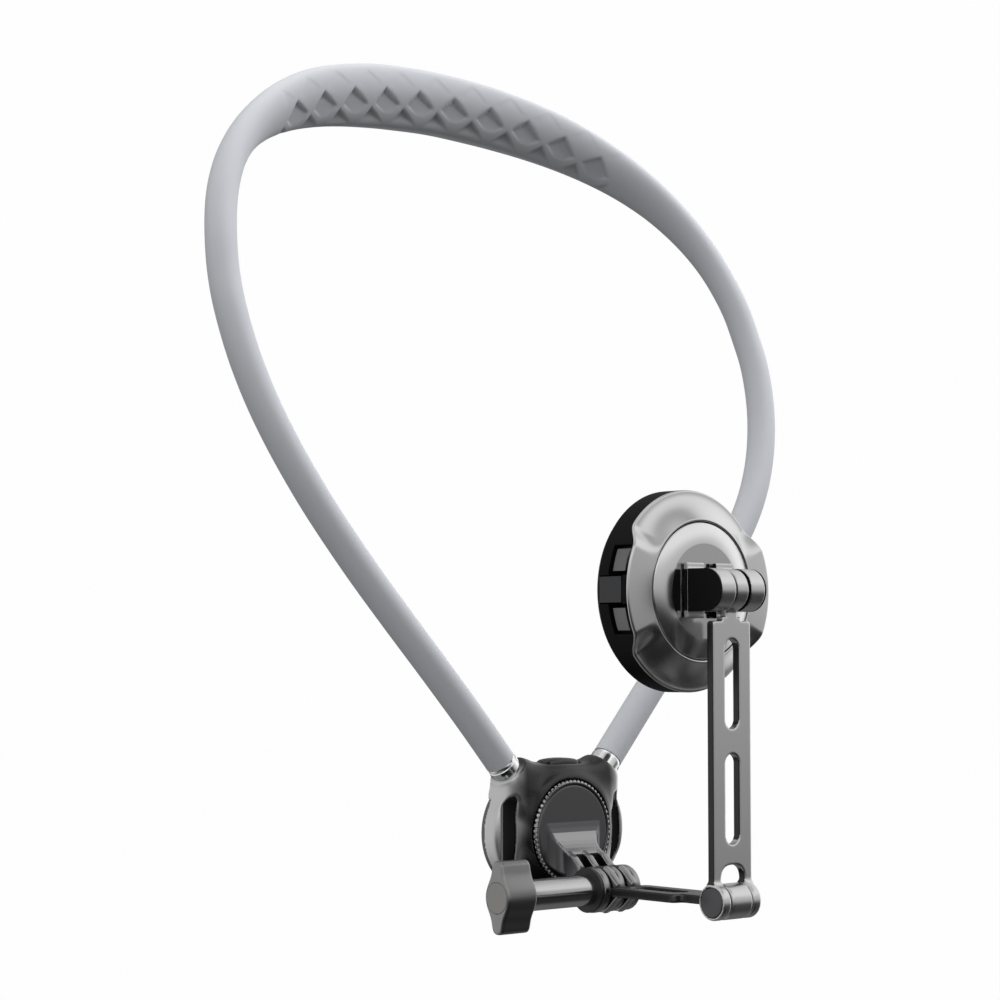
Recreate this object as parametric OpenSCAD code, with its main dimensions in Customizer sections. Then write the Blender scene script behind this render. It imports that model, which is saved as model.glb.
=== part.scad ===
// Neck phone holder: a soft band round the neck, a chest hub with a turntable, a short link,
// a slotted arm and a turning magnetic head. Lengths in millimetres.
// Origin: middle of the nape pad's inner face. X to the wearer's side, +Y towards the wearer's
// back, +Z up. The head faces the wearer, the arm and the turntable face -Y.

/* [Neck band] */
// Half of the band's outer width, at its centre line
band_half_width = 121.9; // [112:0.5:130]
// Height from the nape down to the ferrules
band_drop = 237.45; // [220:0.5:255]
// Depth from the nape forward to the hub
band_reach = 67.6; // [60:0.5:80]
// Diameter of the round part of the band
tube_dia = 10.4; // [9.6:0.1:11]
// Height of the pad at the nape
pad_tall = 23.4; // [18:0.2:27]
// Thickness of the pad at the nape
pad_thick = 9.6; // [9:0.1:12]
// Diameter of the bendable rod inside the band
core_dia = 4.6; // [4:0.1:4.8]
// Length of each metal ferrule
ferrule_len = 2.3; // [1.8:0.1:3]

/* [Chest hub] */
// Half distance between the ferrules
socket_half = 24.84; // [24:0.1:26]
// Height of the ferrules above the turntable's axis
socket_rise = 23.85; // [23:0.1:25]
// Radius of the rounded ends
ear_r = 19.7; // [19.4:0.1:20.4]
// Distance of each rounded end's centre from the middle
ear_x = 9.9; // [9.5:0.1:11]
// Depth of the hub
hub_deep = 12.3; // [12:0.1:14]
// Thickness of the back cover
cover_thick = 1.3; // [1.2:0.05:1.4]
// Thickness of the soft chest pad
chest_pad_thick = 1.4; // [1:0.1:2.5]
// Height of each strap slot
strap_tall = 25; // [22:0.5:26]
// Metal left outside each strap slot
strap_rim = 1.7; // [1.5:0.1:2]
// Length of the release button
button_long = 18.2; // [16:0.2:19]
// Travel of the release button
button_travel = 1.6; // [1:0.1:1.8]

/* [Turntable and prongs] */
// Radius of the serrated ring
ring_r = 17.3; // [17:0.1:17.6]
// Number of serrations
ring_teeth = 60; // [48:1:84]
// Distance of the prong axis in front of the hub's face
prong_out = 17.5; // [17:0.1:19]
// Distance of the prong axis below the turntable's axis
prong_drop = 17.9; // [17:0.1:19]
// Radius of the round prongs
prong_r = 7.5; // [7.2:0.1:7.6]
// Step from one prong to the next
prong_pitch = 3.4; // [3.3:0.05:3.5]
// Thickness of one prong
prong_thick = 3.1; // [3:0.05:3.15]

/* [Thumb knob] */
// Length of the smooth barrel
knob_barrel_len = 26.8; // [24:0.2:30]
// Radius of the barrel
knob_barrel_r = 5.05; // [4.6:0.05:5.6]
// Length of the winged head
knob_head_len = 12.6; // [10:0.2:14]
// Tip to tip height of the wings
knob_span = 23.4; // [20:0.2:26]
// Width of one wing
knob_wing = 6.2; // [5.6:0.1:7]
// Radius of the clamping screw
clamp_r = 2.5; // [2.3:0.05:2.7]

/* [Link and arm] */
// Distance between the link's two axes
link_len = 55.4; // [52:0.2:60]
// Width of the link and of the arm
bar_wide = 17.2; // [16.8:0.1:18]
// Thickness of the link and of the arm
bar_thick = 2.8; // [2.6:0.05:3.2]
// Radius of the lower hinge barrel
hinge_r = 5.65; // [5.4:0.05:5.8]
// Distance between the arm's two axes
arm_len = 97.8; // [94:0.2:104]
// Width of the slots in the arm
slot_wide = 6.3; // [5.6:0.1:6.6]
// Length of each slot, as a share of the arm's length
slot_long_share = 0.29; // [0.26:0.01:0.3]
// Step from one slot to the next, as a share of the arm's length
slot_pitch_share = 0.37; // [0.36:0.005:0.375]

/* [Magnetic head] */
// Radius of the head
head_r = 32.6; // [32:0.1:34]
// Depth from the phone's back to the groove of the turning plate, as a share of the radius
head_deep_share = 0.49; // [0.485:0.005:0.51]
// Radius of the turning centre plate, as a share of the head's
plate_share = 0.675; // [0.665:0.005:0.685]
// Distance from the phone's back to the upper hinge axis
fork_out = 27.3; // [27:0.1:29]
// Width of the fork
fork_wide = 20.8; // [20:0.1:21.6]
// Radius of the fork's rounded front
fork_r = 6.8; // [6.4:0.05:6.9]
// Outer radius of the magnet ring, as a share of the head's
magnet_share = 0.828; // [0.78:0.004:0.836]
// Number of magnets in the ring
magnet_count = 18; // [12:1:24]
// Travel of the two side tabs
tab_travel = 1.2; // [0.8:0.1:1.4]

/* [Fits] */
// Gap between faces that slide past each other
slide_gap = 0.3; // [0.25:0.01:0.4]
// Radial clearance of a turning shaft
shaft_gap = 0.05; // [0.03:0.01:0.08]
// Radius of the hinge pins
pin_r = 2; // [1.8:0.05:2.1]

/* [Hidden] */
$fn = 72;

// One overrun for every cut, so that no cut ends level with a face.
cut = 1;
pad_mid_y = pad_thick / 2;
tube_r = tube_dia / 2;
socket_len = 0.595 * socket_half;
core_r = core_dia / 2;
bore_r = core_r + 2 * shaft_gap;

// The band leaves the hub at this angle from the vertical.
socket_lean = 42.5;
ferrule_r = 0.96 * tube_r;
socket_r = 1.26 * ferrule_r;
socket_y = pad_mid_y - band_reach;
hub_front = 0.675 * hub_deep;
hub_y = socket_y - hub_front;
hub_z = -band_drop - socket_rise;

// Band route, from the nape to the right ferrule, as shares of half width, reach and drop.
route_shares = [
  [0.0000, 0.0000, 0.0000], [0.1665, 0.0148, -0.0042], [0.2732, 0.0385, -0.0109],
  [0.3823, 0.0710, -0.0211], [0.4922, 0.1124, -0.0358], [0.6021, 0.1672, -0.0573],
  [0.7071, 0.2352, -0.0859], [0.7998, 0.3092, -0.1213], [0.8720, 0.3861, -0.1613],
  [0.9237, 0.4601, -0.2026], [0.9582, 0.5251, -0.2430], [0.9844, 0.5947, -0.2906],
  [0.9975, 0.6538, -0.3394], [1.0000, 0.7160, -0.3883], [0.9852, 0.7825, -0.4485],
  [0.9549, 0.8388, -0.5058], [0.9106, 0.8861, -0.5605], [0.8523, 0.9216, -0.6140],
  [0.7810, 0.9408, -0.6658], [0.6727, 0.9586, -0.7340], [0.5554, 0.9749, -0.8019],
  [0.4315, 0.9882, -0.8709], [0.3035, 0.9970, -0.9425],
  [socket_half / band_half_width, 1, -1]
];
// How much of the pad's extra size is left at each of those points.
swell_shares = [
  1, 0.99, 0.94, 0.86, 0.75, 0.6, 0.44, 0.29, 0.17, 0.08, 0.03, 0.01,
  0, 0, 0, 0, 0, 0, 0, 0, 0, 0, 0, 0
];
route_steps = 2;
band_sides = 16;
route_last = len(route_shares) - 1;

// A point of the smooth curve through the rows of a table, for a place counted in rows.
function row_at(table, i) = table[min(max(i, 0), len(table) - 1)];
function blend(table, i, t) =
  let (
  a = row_at(table, i - 1),
  b = row_at(table, i),
  c = row_at(table, i + 1),
  d = row_at(table, i + 2)
)
  b + (t * (c - a) + t * t * (2 * a - 5 * b + 4 * c - d) + t * t * t * (3 * b - a - 3 * c + d)) / 2;
function half_share(table, s) = blend(table, floor(s), s - floor(s));
function route_point(s) =
  let (p = half_share(route_shares, min(abs(s), route_last)))
  [sign(s) * p[0] * band_half_width, pad_mid_y - p[1] * band_reach, p[2] * band_drop];
function swell_at(s) = min(max(half_share(swell_shares, min(abs(s), route_last)), 0), 1);
function unit(v) = v / norm(v);

ring_count = 2 * route_last * route_steps + 1;
function ring_place(k) = k / route_steps - route_last;
function route_tangent(k) =
  k == 0 ? [-sin(socket_lean), 0, cos(socket_lean)]
  : k == ring_count - 1 ? [-sin(socket_lean), 0, -cos(socket_lean)]
  : unit(route_point(ring_place(k + 1)) - route_point(ring_place(k - 1)));
// The flat of the pad faces the neck: across the band, level, towards the wearer's middle.
neck_mid_y = pad_mid_y - band_reach * 0.9;
function route_normal(k) =
  let (
  p = route_point(ring_place(k)),
  t = route_tangent(k),
  h = [-p[0], neck_mid_y - p[1], 0],
  level = h - (h * t) * t
)
  unit(level);

// One ring of points round the band, half size a across the level and b towards the neck.
function band_ring(k, a, b) =
  let (
  p = route_point(ring_place(k)),
  t = route_tangent(k),
  n = route_normal(k),
  w = cross(n, t)
)
  [for (j = [0 : band_sides - 1]) p + n * b * cos(360 * j / band_sides) + w * a * sin(360 * j / band_sides)];
function sleeve_points() =
  [
  for (k = [0 : ring_count - 1])
    let (s = swell_at(ring_place(k)))
    each band_ring(k, tube_r + s * (pad_tall / 2 - tube_r), tube_r + s * (pad_thick / 2 - tube_r))
];
function round_points(r) = [for (k = [0 : ring_count - 1]) each band_ring(k, r, r)];
function wall_faces(base, turn) =
  [
  for (k = [0 : ring_count - 2])
    for (j = [0 : band_sides - 1])
    let (
    a = base + k * band_sides + j,
    b = base + k * band_sides + (j + 1) % band_sides,
    c = b + band_sides,
    d = a + band_sides
  )
    each (turn ? [[a, c, b], [a, d, c]] : [[a, b, c], [a, c, d]])
];
function cap_faces(first, turn) =
  [
  for (j = [1 : band_sides - 2])
    turn ? [first, first + j, first + j + 1] : [first, first + j + 1, first + j]
];
function rim_faces(outer, inner, turn) =
  [
  for (j = [0 : band_sides - 1])
    let (n = (j + 1) % band_sides)
    each (
    turn
      ? [[outer + j, inner + n, outer + n], [outer + j, inner + j, inner + n]]
      : [[outer + j, outer + n, inner + n], [outer + j, inner + n, inner + j]]
  )
];
last_ring = (ring_count - 1) * band_sides;
wall_total = ring_count * band_sides;

module in_hub() {
  translate([0, hub_y, hub_z]) children();
}
// Turns a part drawn along +Z so that it runs along -Y.
module along_front() {
  rotate([90, 0, 0]) children();
}
// Turns a part drawn along +Z so that it runs along +Y.
module along_back() {
  rotate([-90, 0, 0]) children();
}
// Turns a profile drawn in X and Y so that they become Y and Z, drawn along X about the middle.
module across(wide) {
  rotate([90, 0, 90]) linear_extrude(wide, center = true) children();
}
module socket_place(side) {
  mirror([side < 0 ? 1 : 0, 0, 0])
    translate([socket_half, hub_front, socket_rise]) rotate([0, socket_lean, 0]) children();
}

// Neck band.
module band_sleeve() {
  color("lightgrey")
    polyhedron(
    concat(sleeve_points(), round_points(bore_r)),
    concat(
      wall_faces(0, false),
      wall_faces(wall_total, true),
      rim_faces(0, wall_total, true),
      rim_faces(last_ring, wall_total + last_ring, false)
    ),
    convexity = 10
  );
}
module band_core() {
  color("dimgrey") {
    polyhedron(
      round_points(core_r),
      concat(wall_faces(0, false), cap_faces(0, false), cap_faces(last_ring, true)),
      convexity = 10
    );
    for (side = [-1, 1])
      in_hub() socket_place(side) translate([0, 0, -core_stub])
        cylinder(h = core_stub + core_r, r = core_r - shaft_gap);
  }
}
core_stub = ferrule_len + 0.65 * socket_len;
ferrule_step = ferrule_len / 3;
ferrule_lip = ferrule_r + ferrule_r / 14;
module ferrule() {
  translate([0, 0, -ferrule_len]) difference() {
    union() {
      cylinder(h = ferrule_len, r = ferrule_r);
      cylinder(h = ferrule_step, r = ferrule_lip);
    }
    translate([0, 0, -cut]) cylinder(h = ferrule_len + 2 * cut, r = core_r + slide_gap);
  }
}
module ferrule_right() {
  color("silver") in_hub() socket_place(1) ferrule();
}
module ferrule_left() {
  color("silver") in_hub() socket_place(-1) ferrule();
}

// Chest hub.
cover_y = hub_deep - cover_thick;
edge_round = hub_deep / 8;
rim_y = 0.35 * hub_deep;
dome_base_r = ear_r + ear_r / 20;
pocket_r = ring_r + slide_gap;
seat_deep = 0.2 * hub_deep;
floor_y = 0.43 * hub_deep;
cavity_r = 0.72 * ear_r;
bearing_r = ear_r / 5.5;
post_r = ear_r / 9;
cover_screw_r = ear_r / 18;
screw_x = ear_x + ear_r / 6;
screw_z = 0.72 * ear_r;
module ear_outline(r) {
  for (side = [-1, 1]) translate([side * ear_x, 0]) circle(r);
  square([2 * ear_x, 2 * r], center = true);
}
module strap_slot() {
  intersection() {
    for (side = [-1, 1]) translate([side * ear_x, 0]) circle(ear_r - strap_rim);
    square([4 * ear_r, strap_tall], center = true);
    difference() {
      square([4 * ear_r, 2 * ear_r], center = true);
      square([2 * slot_inner_x, 2 * ear_r], center = true);
    }
  }
}
slot_inner_x = ear_x + 0.59 * ear_r;
// Side profile of the rounded ends, radius against depth.
module ear_profile() {
  difference() {
    translate([0, rim_y]) square([ear_r, cover_y - rim_y]);
    translate([ear_r - edge_round, rim_y]) difference() {
      translate([0, -cut]) square([edge_round + cut, edge_round + cut]);
      translate([0, edge_round]) circle(edge_round);
    }
  }
}
module hub_solid() {
  for (side = [-1, 1])
    translate([side * ear_x, 0, 0]) along_back() rotate_extrude() ear_profile();
  rotate([90, 0, 90]) linear_extrude(2 * ear_x, center = true) {
    rotate(90) mirror([0, 1]) ear_profile();
    mirror([0, 1]) rotate(90) mirror([0, 1]) ear_profile();
  }
  along_back() rotate_extrude() polygon([
      [0, 0], [pocket_r + edge_round / 4, 0], [pocket_r + edge_round / 2, edge_round / 3],
      [dome_base_r, rim_y], [dome_base_r, cover_y - edge_round], [0, cover_y - edge_round]
  ]);
}
module socket_solid() {
  translate([0, 0, -ferrule_len - socket_len]) cylinder(h = socket_len, r = socket_r);
}
module shoulder_block() {
  translate([0, cover_y, 0]) along_front() linear_extrude(cover_y - yoke_y) difference() {
    union() {
      translate([-shoulder_x, 0]) square([2 * shoulder_x, saddle_z]);
      for (side = [-1, 1])
        polygon([
          [0, 0], [side * ear_x, -ear_x], [side * cheek_x, cheek_low],
            [side * (cheek_x + cheek_out), cheek_high],
          [side * shoulder_x, saddle_z - cheek_out]
      ]);
    }
    translate([0, saddle_z + saddle_dip_r - saddle_dip]) circle(saddle_dip_r);
  }
}
yoke_y = 0.24 * hub_deep;
shoulder_x = 0.753 * socket_half;
saddle_z = 1.1 * socket_rise;
saddle_dip_r = 1.507 * socket_half;
saddle_dip = 0.215 * socket_rise;
cheek_x = 1.055 * socket_half;
cheek_low = 0.578 * socket_rise;
cheek_out = 0.04 * socket_half;
cheek_high = 0.743 * socket_rise;
saddle_low = saddle_z - saddle_dip;
core_hole_r = core_r + shaft_gap;
button_deep = 0.36 * button_long;
button_y = 0.57 * hub_deep;
button_tall = 0.25 * button_long;
button_sunk = button_tall / 4;
button_low_z = saddle_low - button_sunk;
stem_wide = button_long / 4;
stem_deep = button_deep / 2;
button_floor_z = button_low_z - button_travel - slide_gap;
stem_end_z = cavity_r * 0.87;
module button_outline(grow) {
  for (side = [-1, 1]) translate([side * (button_long - button_deep) / 2, 0])
    circle(button_deep / 2 + grow);
  square([button_long - button_deep, button_deep + 2 * grow], center = true);
}
module cover_screw_places() {
  for (sx = [-1, 1])
    for (sz = [-1, 1])
    translate([sx * screw_x, 0, sz * screw_z]) children();
}
module hub_front_shell() {
  color("dimgrey") in_hub() difference() {
    union() {
      hub_solid();
      for (side = [-1, 1]) socket_place(side) socket_solid();
      shoulder_block();
    }
    // Seat of the turntable, its bearing and the cavity behind it.
    translate([0, -cut, 0]) along_back() cylinder(h = seat_deep + cut, r = pocket_r);
    along_back() cylinder(h = hub_deep, r = bearing_r + shaft_gap);
    translate([0, floor_y, 0]) along_back() cylinder(h = hub_deep, r = cavity_r);
    // Everything behind the back cover's front face.
    translate([-3 * ear_r, cover_y, -3 * ear_r]) cube([6 * ear_r, hub_deep, 6 * ear_r]);
    translate([0, -cut, 0]) along_back() linear_extrude(hub_deep + 2 * cut) strap_slot();
    // Holes for the rods of the band.
    for (side = [-1, 1])
      socket_place(side) translate([0, 0, -ferrule_len - socket_len * 0.8])
      cylinder(h = socket_len, r = core_hole_r);
    // Button pocket and the way for its stem.
    translate([0, button_y, button_floor_z]) linear_extrude(socket_rise) button_outline(slide_gap);
    translate([-stem_wide / 2 - slide_gap, button_y - stem_deep / 2 - slide_gap, 0])
      cube([stem_wide + 2 * slide_gap, stem_deep + 2 * slide_gap, socket_rise]);
    cover_screw_places() translate([0, cover_y - post_r * 2, 0]) along_back()
      cylinder(h = hub_deep, r = cover_screw_r);
  }
}
module hub_back_cover() {
  color("dimgrey") in_hub() difference() {
    translate([0, cover_y, 0]) along_back() linear_extrude(cover_thick) difference() {
      ear_outline(ear_r);
      strap_slot();
    }
    cover_screw_places() translate([0, cover_y - cut, 0]) along_back() {
      cylinder(h = cover_thick + 2 * cut, r = cover_screw_r + shaft_gap);
      translate([0, 0, cut + cover_thick / 2])
        cylinder(h = cover_thick, r = 2 * cover_screw_r + shaft_gap);
    }
  }
}
module chest_pad() {
  color("black") in_hub() translate([0, hub_deep, 0]) along_back()
    linear_extrude(chest_pad_thick) difference() {
    intersection() {
      ear_outline(ear_r - edge_round);
      square([2 * (slot_inner_x - edge_round), 2 * ear_r], center = true);
    }
    for (sx = [-1, 1])
      for (sz = [-1, 1])
      translate([sx * screw_x, sz * screw_z]) circle(3 * cover_screw_r);
  }
}
module cover_screws() {
  color("silver") in_hub() cover_screw_places() {
    translate([0, cover_y - post_r * 2, 0]) along_back()
      cylinder(h = post_r * 2 + cover_thick / 2, r = cover_screw_r);
    translate([0, cover_y + cover_thick / 2, 0]) along_back() difference() {
      cylinder(h = cover_thick / 2, r = 2 * cover_screw_r);
      translate([0, 0, cover_thick / 6]) cylinder(h = cover_thick, r = cover_screw_r, $fn = 6);
    }
  }
}
clamp_wide = core_r * 0.9;
module core_clamps() {
  color("goldenrod") in_hub()
    for (side = [-1, 1])
    socket_place(side) translate([0, 0, -ferrule_len - socket_len * 0.5]) difference() {
    cylinder(h = clamp_wide, r = core_hole_r);
    translate([0, 0, -cut]) cylinder(h = clamp_wide + 2 * cut, r = core_r * 0.99);
  }
}
module release_button() {
  color("black") in_hub() translate([0, button_y, 0]) {
    translate([0, 0, button_low_z]) linear_extrude(button_tall) button_outline(0);
    translate([-stem_wide / 2, -stem_deep / 2, stem_end_z])
      cube([stem_wide, stem_deep, button_low_z + button_sunk - stem_end_z]);
  }
}
spring_r = button_deep / 3;
spring_wire = spring_r / 4;
spring_x = button_long / 2 - button_deep / 2;
module button_spring() {
  color("silver") in_hub()
    for (side = [-1, 1])
    translate([side * spring_x, button_y, button_floor_z]) difference() {
    cylinder(h = button_low_z - button_floor_z, r = spring_r);
    translate([0, 0, -cut]) cylinder(h = button_tall * 4, r = spring_r - spring_wire);
  }
}

// Turntable with its three prongs. Drawn about the turntable's axis, which is the hub's Y axis.
disc_r = ring_r - ring_r / 10;
disc_front = -0.05 * ring_r;
disc_back = seat_deep - slide_gap;
prong_y = -prong_out;
prong_z = -prong_drop;
ledge_y = -0.26 * ring_r;
ledge_z = -0.28 * ring_r;
root_half = 2.5 * prong_thick + 2 * (prong_pitch - prong_thick);
flare_half = 0.74 * ring_r;
root_low = -0.84 * disc_r;
slot_root_y = ledge_y - 0.04 * ring_r;
module prong_outline() {
  translate([prong_y, prong_z]) circle(prong_r);
  difference() {
    polygon([
        [disc_back, 0.04 * ring_r], [disc_front, 0.04 * ring_r], [ledge_y, ledge_z],
        [prong_y + prong_r * 0.38, prong_z + prong_r * 0.925], [prong_y, prong_z],
        [prong_y + prong_r * 0.1, prong_z - prong_r * 0.99], [disc_front, root_low], [disc_back,
          root_low]
    ]);
    translate([disc_front - 0.33 * ring_r, 0.04 * ring_r]) circle(0.33 * ring_r);
  }
}
module turntable() {
  color("dimgrey") in_hub() difference() {
    union() {
      translate([0, disc_front, 0]) along_back() cylinder(h = disc_back - disc_front, r = disc_r);
      translate([0, disc_front, 0]) along_back()
        cylinder(h = floor_y + slide_gap - disc_front, r = bearing_r);
      intersection() {
        across(2 * root_half) prong_outline();
        translate([0, disc_back, 0]) along_front() linear_extrude(3 * prong_out) {
          intersection() {
            circle(disc_r);
            translate([-root_half, -2 * ring_r]) square([2 * root_half, 3 * ring_r]);
          }
          translate([-root_half, -3 * ring_r]) square([2 * root_half, 3 * ring_r + ledge_z / 2]);
        }
      }
      intersection() {
        translate([0, 0, root_low]) linear_extrude(ledge_z / 2 - root_low)
          polygon([[-flare_half, disc_front + cut / 2], [-root_half, ledge_y], [root_half, ledge_y],
            [flare_half, disc_front + cut / 2]]);
        across(2 * flare_half) prong_outline();
        translate([0, disc_back, 0]) along_front() cylinder(h = 3 * prong_out, r = disc_r);
      }
    }
    for (side = [-1, 1])
      translate([side * prong_pitch, 0, 0]) across(link_fin_slot)
      polygon([
        [slot_root_y, ledge_z], [slot_root_y, 0], [-4 * prong_out, 0], [-4 * prong_out,
          -4 * prong_drop],
        [prong_y + prong_r + cut, -4 * prong_drop], [prong_y + prong_r + cut, prong_z],
        [slot_root_y, ledge_z - prong_r / 2]
    ]);
    translate([0, prong_y, prong_z]) rotate([0, 90, 0])
      cylinder(h = 6 * prong_r, r = clamp_r + shaft_gap, center = true);
    nut_place() cylinder(h = nut_thick + cut, r = nut_r, $fn = 6);
    translate([0, floor_y + slide_gap, 0]) along_front()
      cylinder(h = shaft_screw_len, r = shaft_screw_r);
  }
}
link_fin_slot = 2 * prong_pitch - prong_thick;
nut_thick = 0.7 * prong_thick;
nut_r = 1.85 * clamp_r;
module nut_place() {
  translate([root_half - nut_thick, prong_y, prong_z]) rotate([0, 90, 0]) children();
}
module hex_nut() {
  color("silver") in_hub() nut_place() difference() {
    cylinder(h = nut_thick, r = nut_r, $fn = 6);
    translate([0, 0, -cut]) cylinder(h = nut_thick + 2 * cut, r = clamp_r + shaft_gap);
  }
}
shaft_screw_r = bearing_r / 2.5;
shaft_screw_len = 0.4 * hub_deep;
washer_r = cavity_r * 0.62;
washer_thick = 0.09 * hub_deep;
module serrated_ring() {
  color("silver") in_hub() translate([0, disc_front - cut / 5, 0]) along_back()
    linear_extrude(disc_back - disc_front + cut / 5)
    difference() {
    polygon([
        for (i = [0 : ring_teeth - 1])
          for (t = [[0, 1], [0.4, 1], [0.6, 0.975], [0.8, 0.975]])
          let (a = 360 * (i + t[0]) / ring_teeth)
          [cos(a), sin(a)] * ring_r * t[1]
    ]);
    circle(disc_r);
  }
}
module index_washer() {
  color("goldenrod") in_hub() translate([0, floor_y + slide_gap, 0]) along_back() difference() {
    cylinder(h = washer_thick, r = washer_r);
    translate([0, 0, -cut]) cylinder(h = hub_deep, r = shaft_screw_r + shaft_gap);
  }
}
module turntable_screw() {
  color("silver") in_hub() translate([0, floor_y + slide_gap, 0]) {
    along_front() cylinder(h = shaft_screw_len, r = shaft_screw_r);
    along_back() cylinder(h = washer_thick, r = shaft_screw_r);
    translate([0, washer_thick, 0]) along_back() difference() {
      cylinder(h = 2 * washer_thick, r = 1.9 * shaft_screw_r);
      translate([0, 0, washer_thick]) cylinder(h = hub_deep, r = shaft_screw_r, $fn = 6);
    }
  }
}

// Thumb knob, drawn from the left prong outwards along -X.
flange_thick = 0.35 * prong_thick;
flange_end = -root_half - slide_gap - flange_thick;
barrel_end = flange_end - knob_barrel_len;
plug_r = knob_barrel_r * 0.98;
plug_deep = knob_head_len / 6;
module at_prong() {
  translate([0, hub_y + prong_y, hub_z + prong_z]) children();
}
// Turns a part drawn along +Z so that it runs along -X from the given place.
module knob_from(x) {
  translate([x, 0, 0]) rotate([0, -90, 0]) children();
}
knob_hub_r = 1.12 * knob_barrel_r;
flank_r = 0.15 * knob_span;
flank_y = knob_wing / 2 + flank_r;
flank_x = sqrt((knob_hub_r + flank_r) * (knob_hub_r + flank_r) - flank_y * flank_y);
tip_r = knob_wing / 5;
module knob_outline() {
  circle(knob_hub_r);
  difference() {
    square([knob_span, knob_wing], center = true);
    for (sx = [-1, 1])
      for (sy = [-1, 1])
      translate([sx * (knob_span / 2 - tip_r), sy * (knob_wing / 2 - tip_r)]) difference() {
      translate([sx * tip_r, sy * tip_r]) square(2 * tip_r, center = true);
      circle(tip_r);
    }
  }
  difference() {
    square([2 * flank_x, 2 * flank_y * knob_hub_r / (knob_hub_r + flank_r)], center = true);
    for (sx = [-1, 1])
      for (sy = [-1, 1])
      translate([sx * flank_x, sy * flank_y]) circle(flank_r);
  }
}
module knob_flange() {
  color("black") at_prong() knob_from(-root_half - slide_gap) difference() {
    cylinder(h = flange_thick, r = prong_r * 0.98);
    translate([0, 0, -cut]) cylinder(h = flange_thick + 2 * cut, r = clamp_r);
  }
}
module knob_barrel() {
  color("grey") at_prong() knob_from(flange_end) difference() {
    cylinder(h = knob_barrel_len, r = knob_barrel_r);
    translate([0, 0, -cut]) cylinder(h = knob_barrel_len + 2 * cut, r = clamp_r);
  }
}
module knob_head() {
  color("silver") at_prong() knob_from(barrel_end) difference() {
    linear_extrude(knob_head_len) knob_outline();
    translate([0, 0, -cut]) cylinder(h = cut + knob_head_len / 2, r = clamp_r);
    translate([0, 0, knob_head_len - plug_deep]) cylinder(h = knob_head_len, r = plug_r);
  }
}
module knob_plug() {
  color("tan") at_prong() knob_from(barrel_end - knob_head_len + plug_deep)
    cylinder(h = plug_deep, r = plug_r);
}
module clamp_screw() {
  color("silver") at_prong() knob_from(root_half - slide_gap)
    cylinder(h = root_half - slide_gap - barrel_end + knob_head_len / 2, r = clamp_r);
}

// Lower link, drawn from the prong axis towards -Y.
link_back = -1.227 * prong_r;
link_front = -link_len + 2.9 * hinge_r;
neck_half = 0.56 * bar_wide / 2;
link_slot_wide = 0.36 * bar_wide;
link_slot_from = link_back - 0.2 * bar_wide;
link_slot_to = link_front + 0.2 * bar_wide;
module bar_slot(x0, x1, wide) {
  for (x = [x0 + wide / 2, x1 - wide / 2]) translate([0, x]) circle(wide / 2);
  translate([-wide / 2, x0 + wide / 2]) square([wide, x1 - x0 - wide]);
}
module lower_link() {
  color("grey") at_prong() difference() {
    union() {
      translate([0, 0, -bar_thick / 2]) linear_extrude(bar_thick) difference() {
        union() {
          translate([-bar_wide / 2, link_front]) square([bar_wide, link_back - link_front]);
          translate([-neck_half, -link_len]) square([2 * neck_half, link_len + link_front + cut]);
        }
        bar_slot(link_slot_to, link_slot_from, link_slot_wide);
      }
      for (side = [-1, 1])
        translate([side * prong_pitch, 0, 0]) {
        across(prong_thick) {
          circle(prong_r);
          polygon([
              [link_back - cut, bar_thick / 2], [-prong_r / 3, prong_r * 0.94], [0, 0], [-prong_r / 3,
                -prong_r * 0.94],
              [link_back - cut, -bar_thick / 2]
          ]);
        }
      }
      translate([0, -link_len, 0]) rotate([0, 90, 0])
        cylinder(h = 2 * neck_half - slide_gap, r = hinge_r, center = true);
    }
    rotate([0, 90, 0]) cylinder(h = 4 * prong_r, r = clamp_r + shaft_gap, center = true);
    translate([0, -link_len, 0]) rotate([0, 90, 0])
      cylinder(h = 2 * bar_wide, r = pin_r + shaft_gap, center = true);
  }
}

// Slotted arm, drawn from the lower hinge axis up.
arm_top = arm_len - 0.57 * bar_wide;
slot_low = 0.182 * arm_len;
slot_long = slot_long_share * arm_len;
slot_pitch = slot_pitch_share * arm_len;
arch_top = 0.117 * arm_len;
arch_half = 1.12 * neck_half;
arch_round = neck_half / 2;
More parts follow.
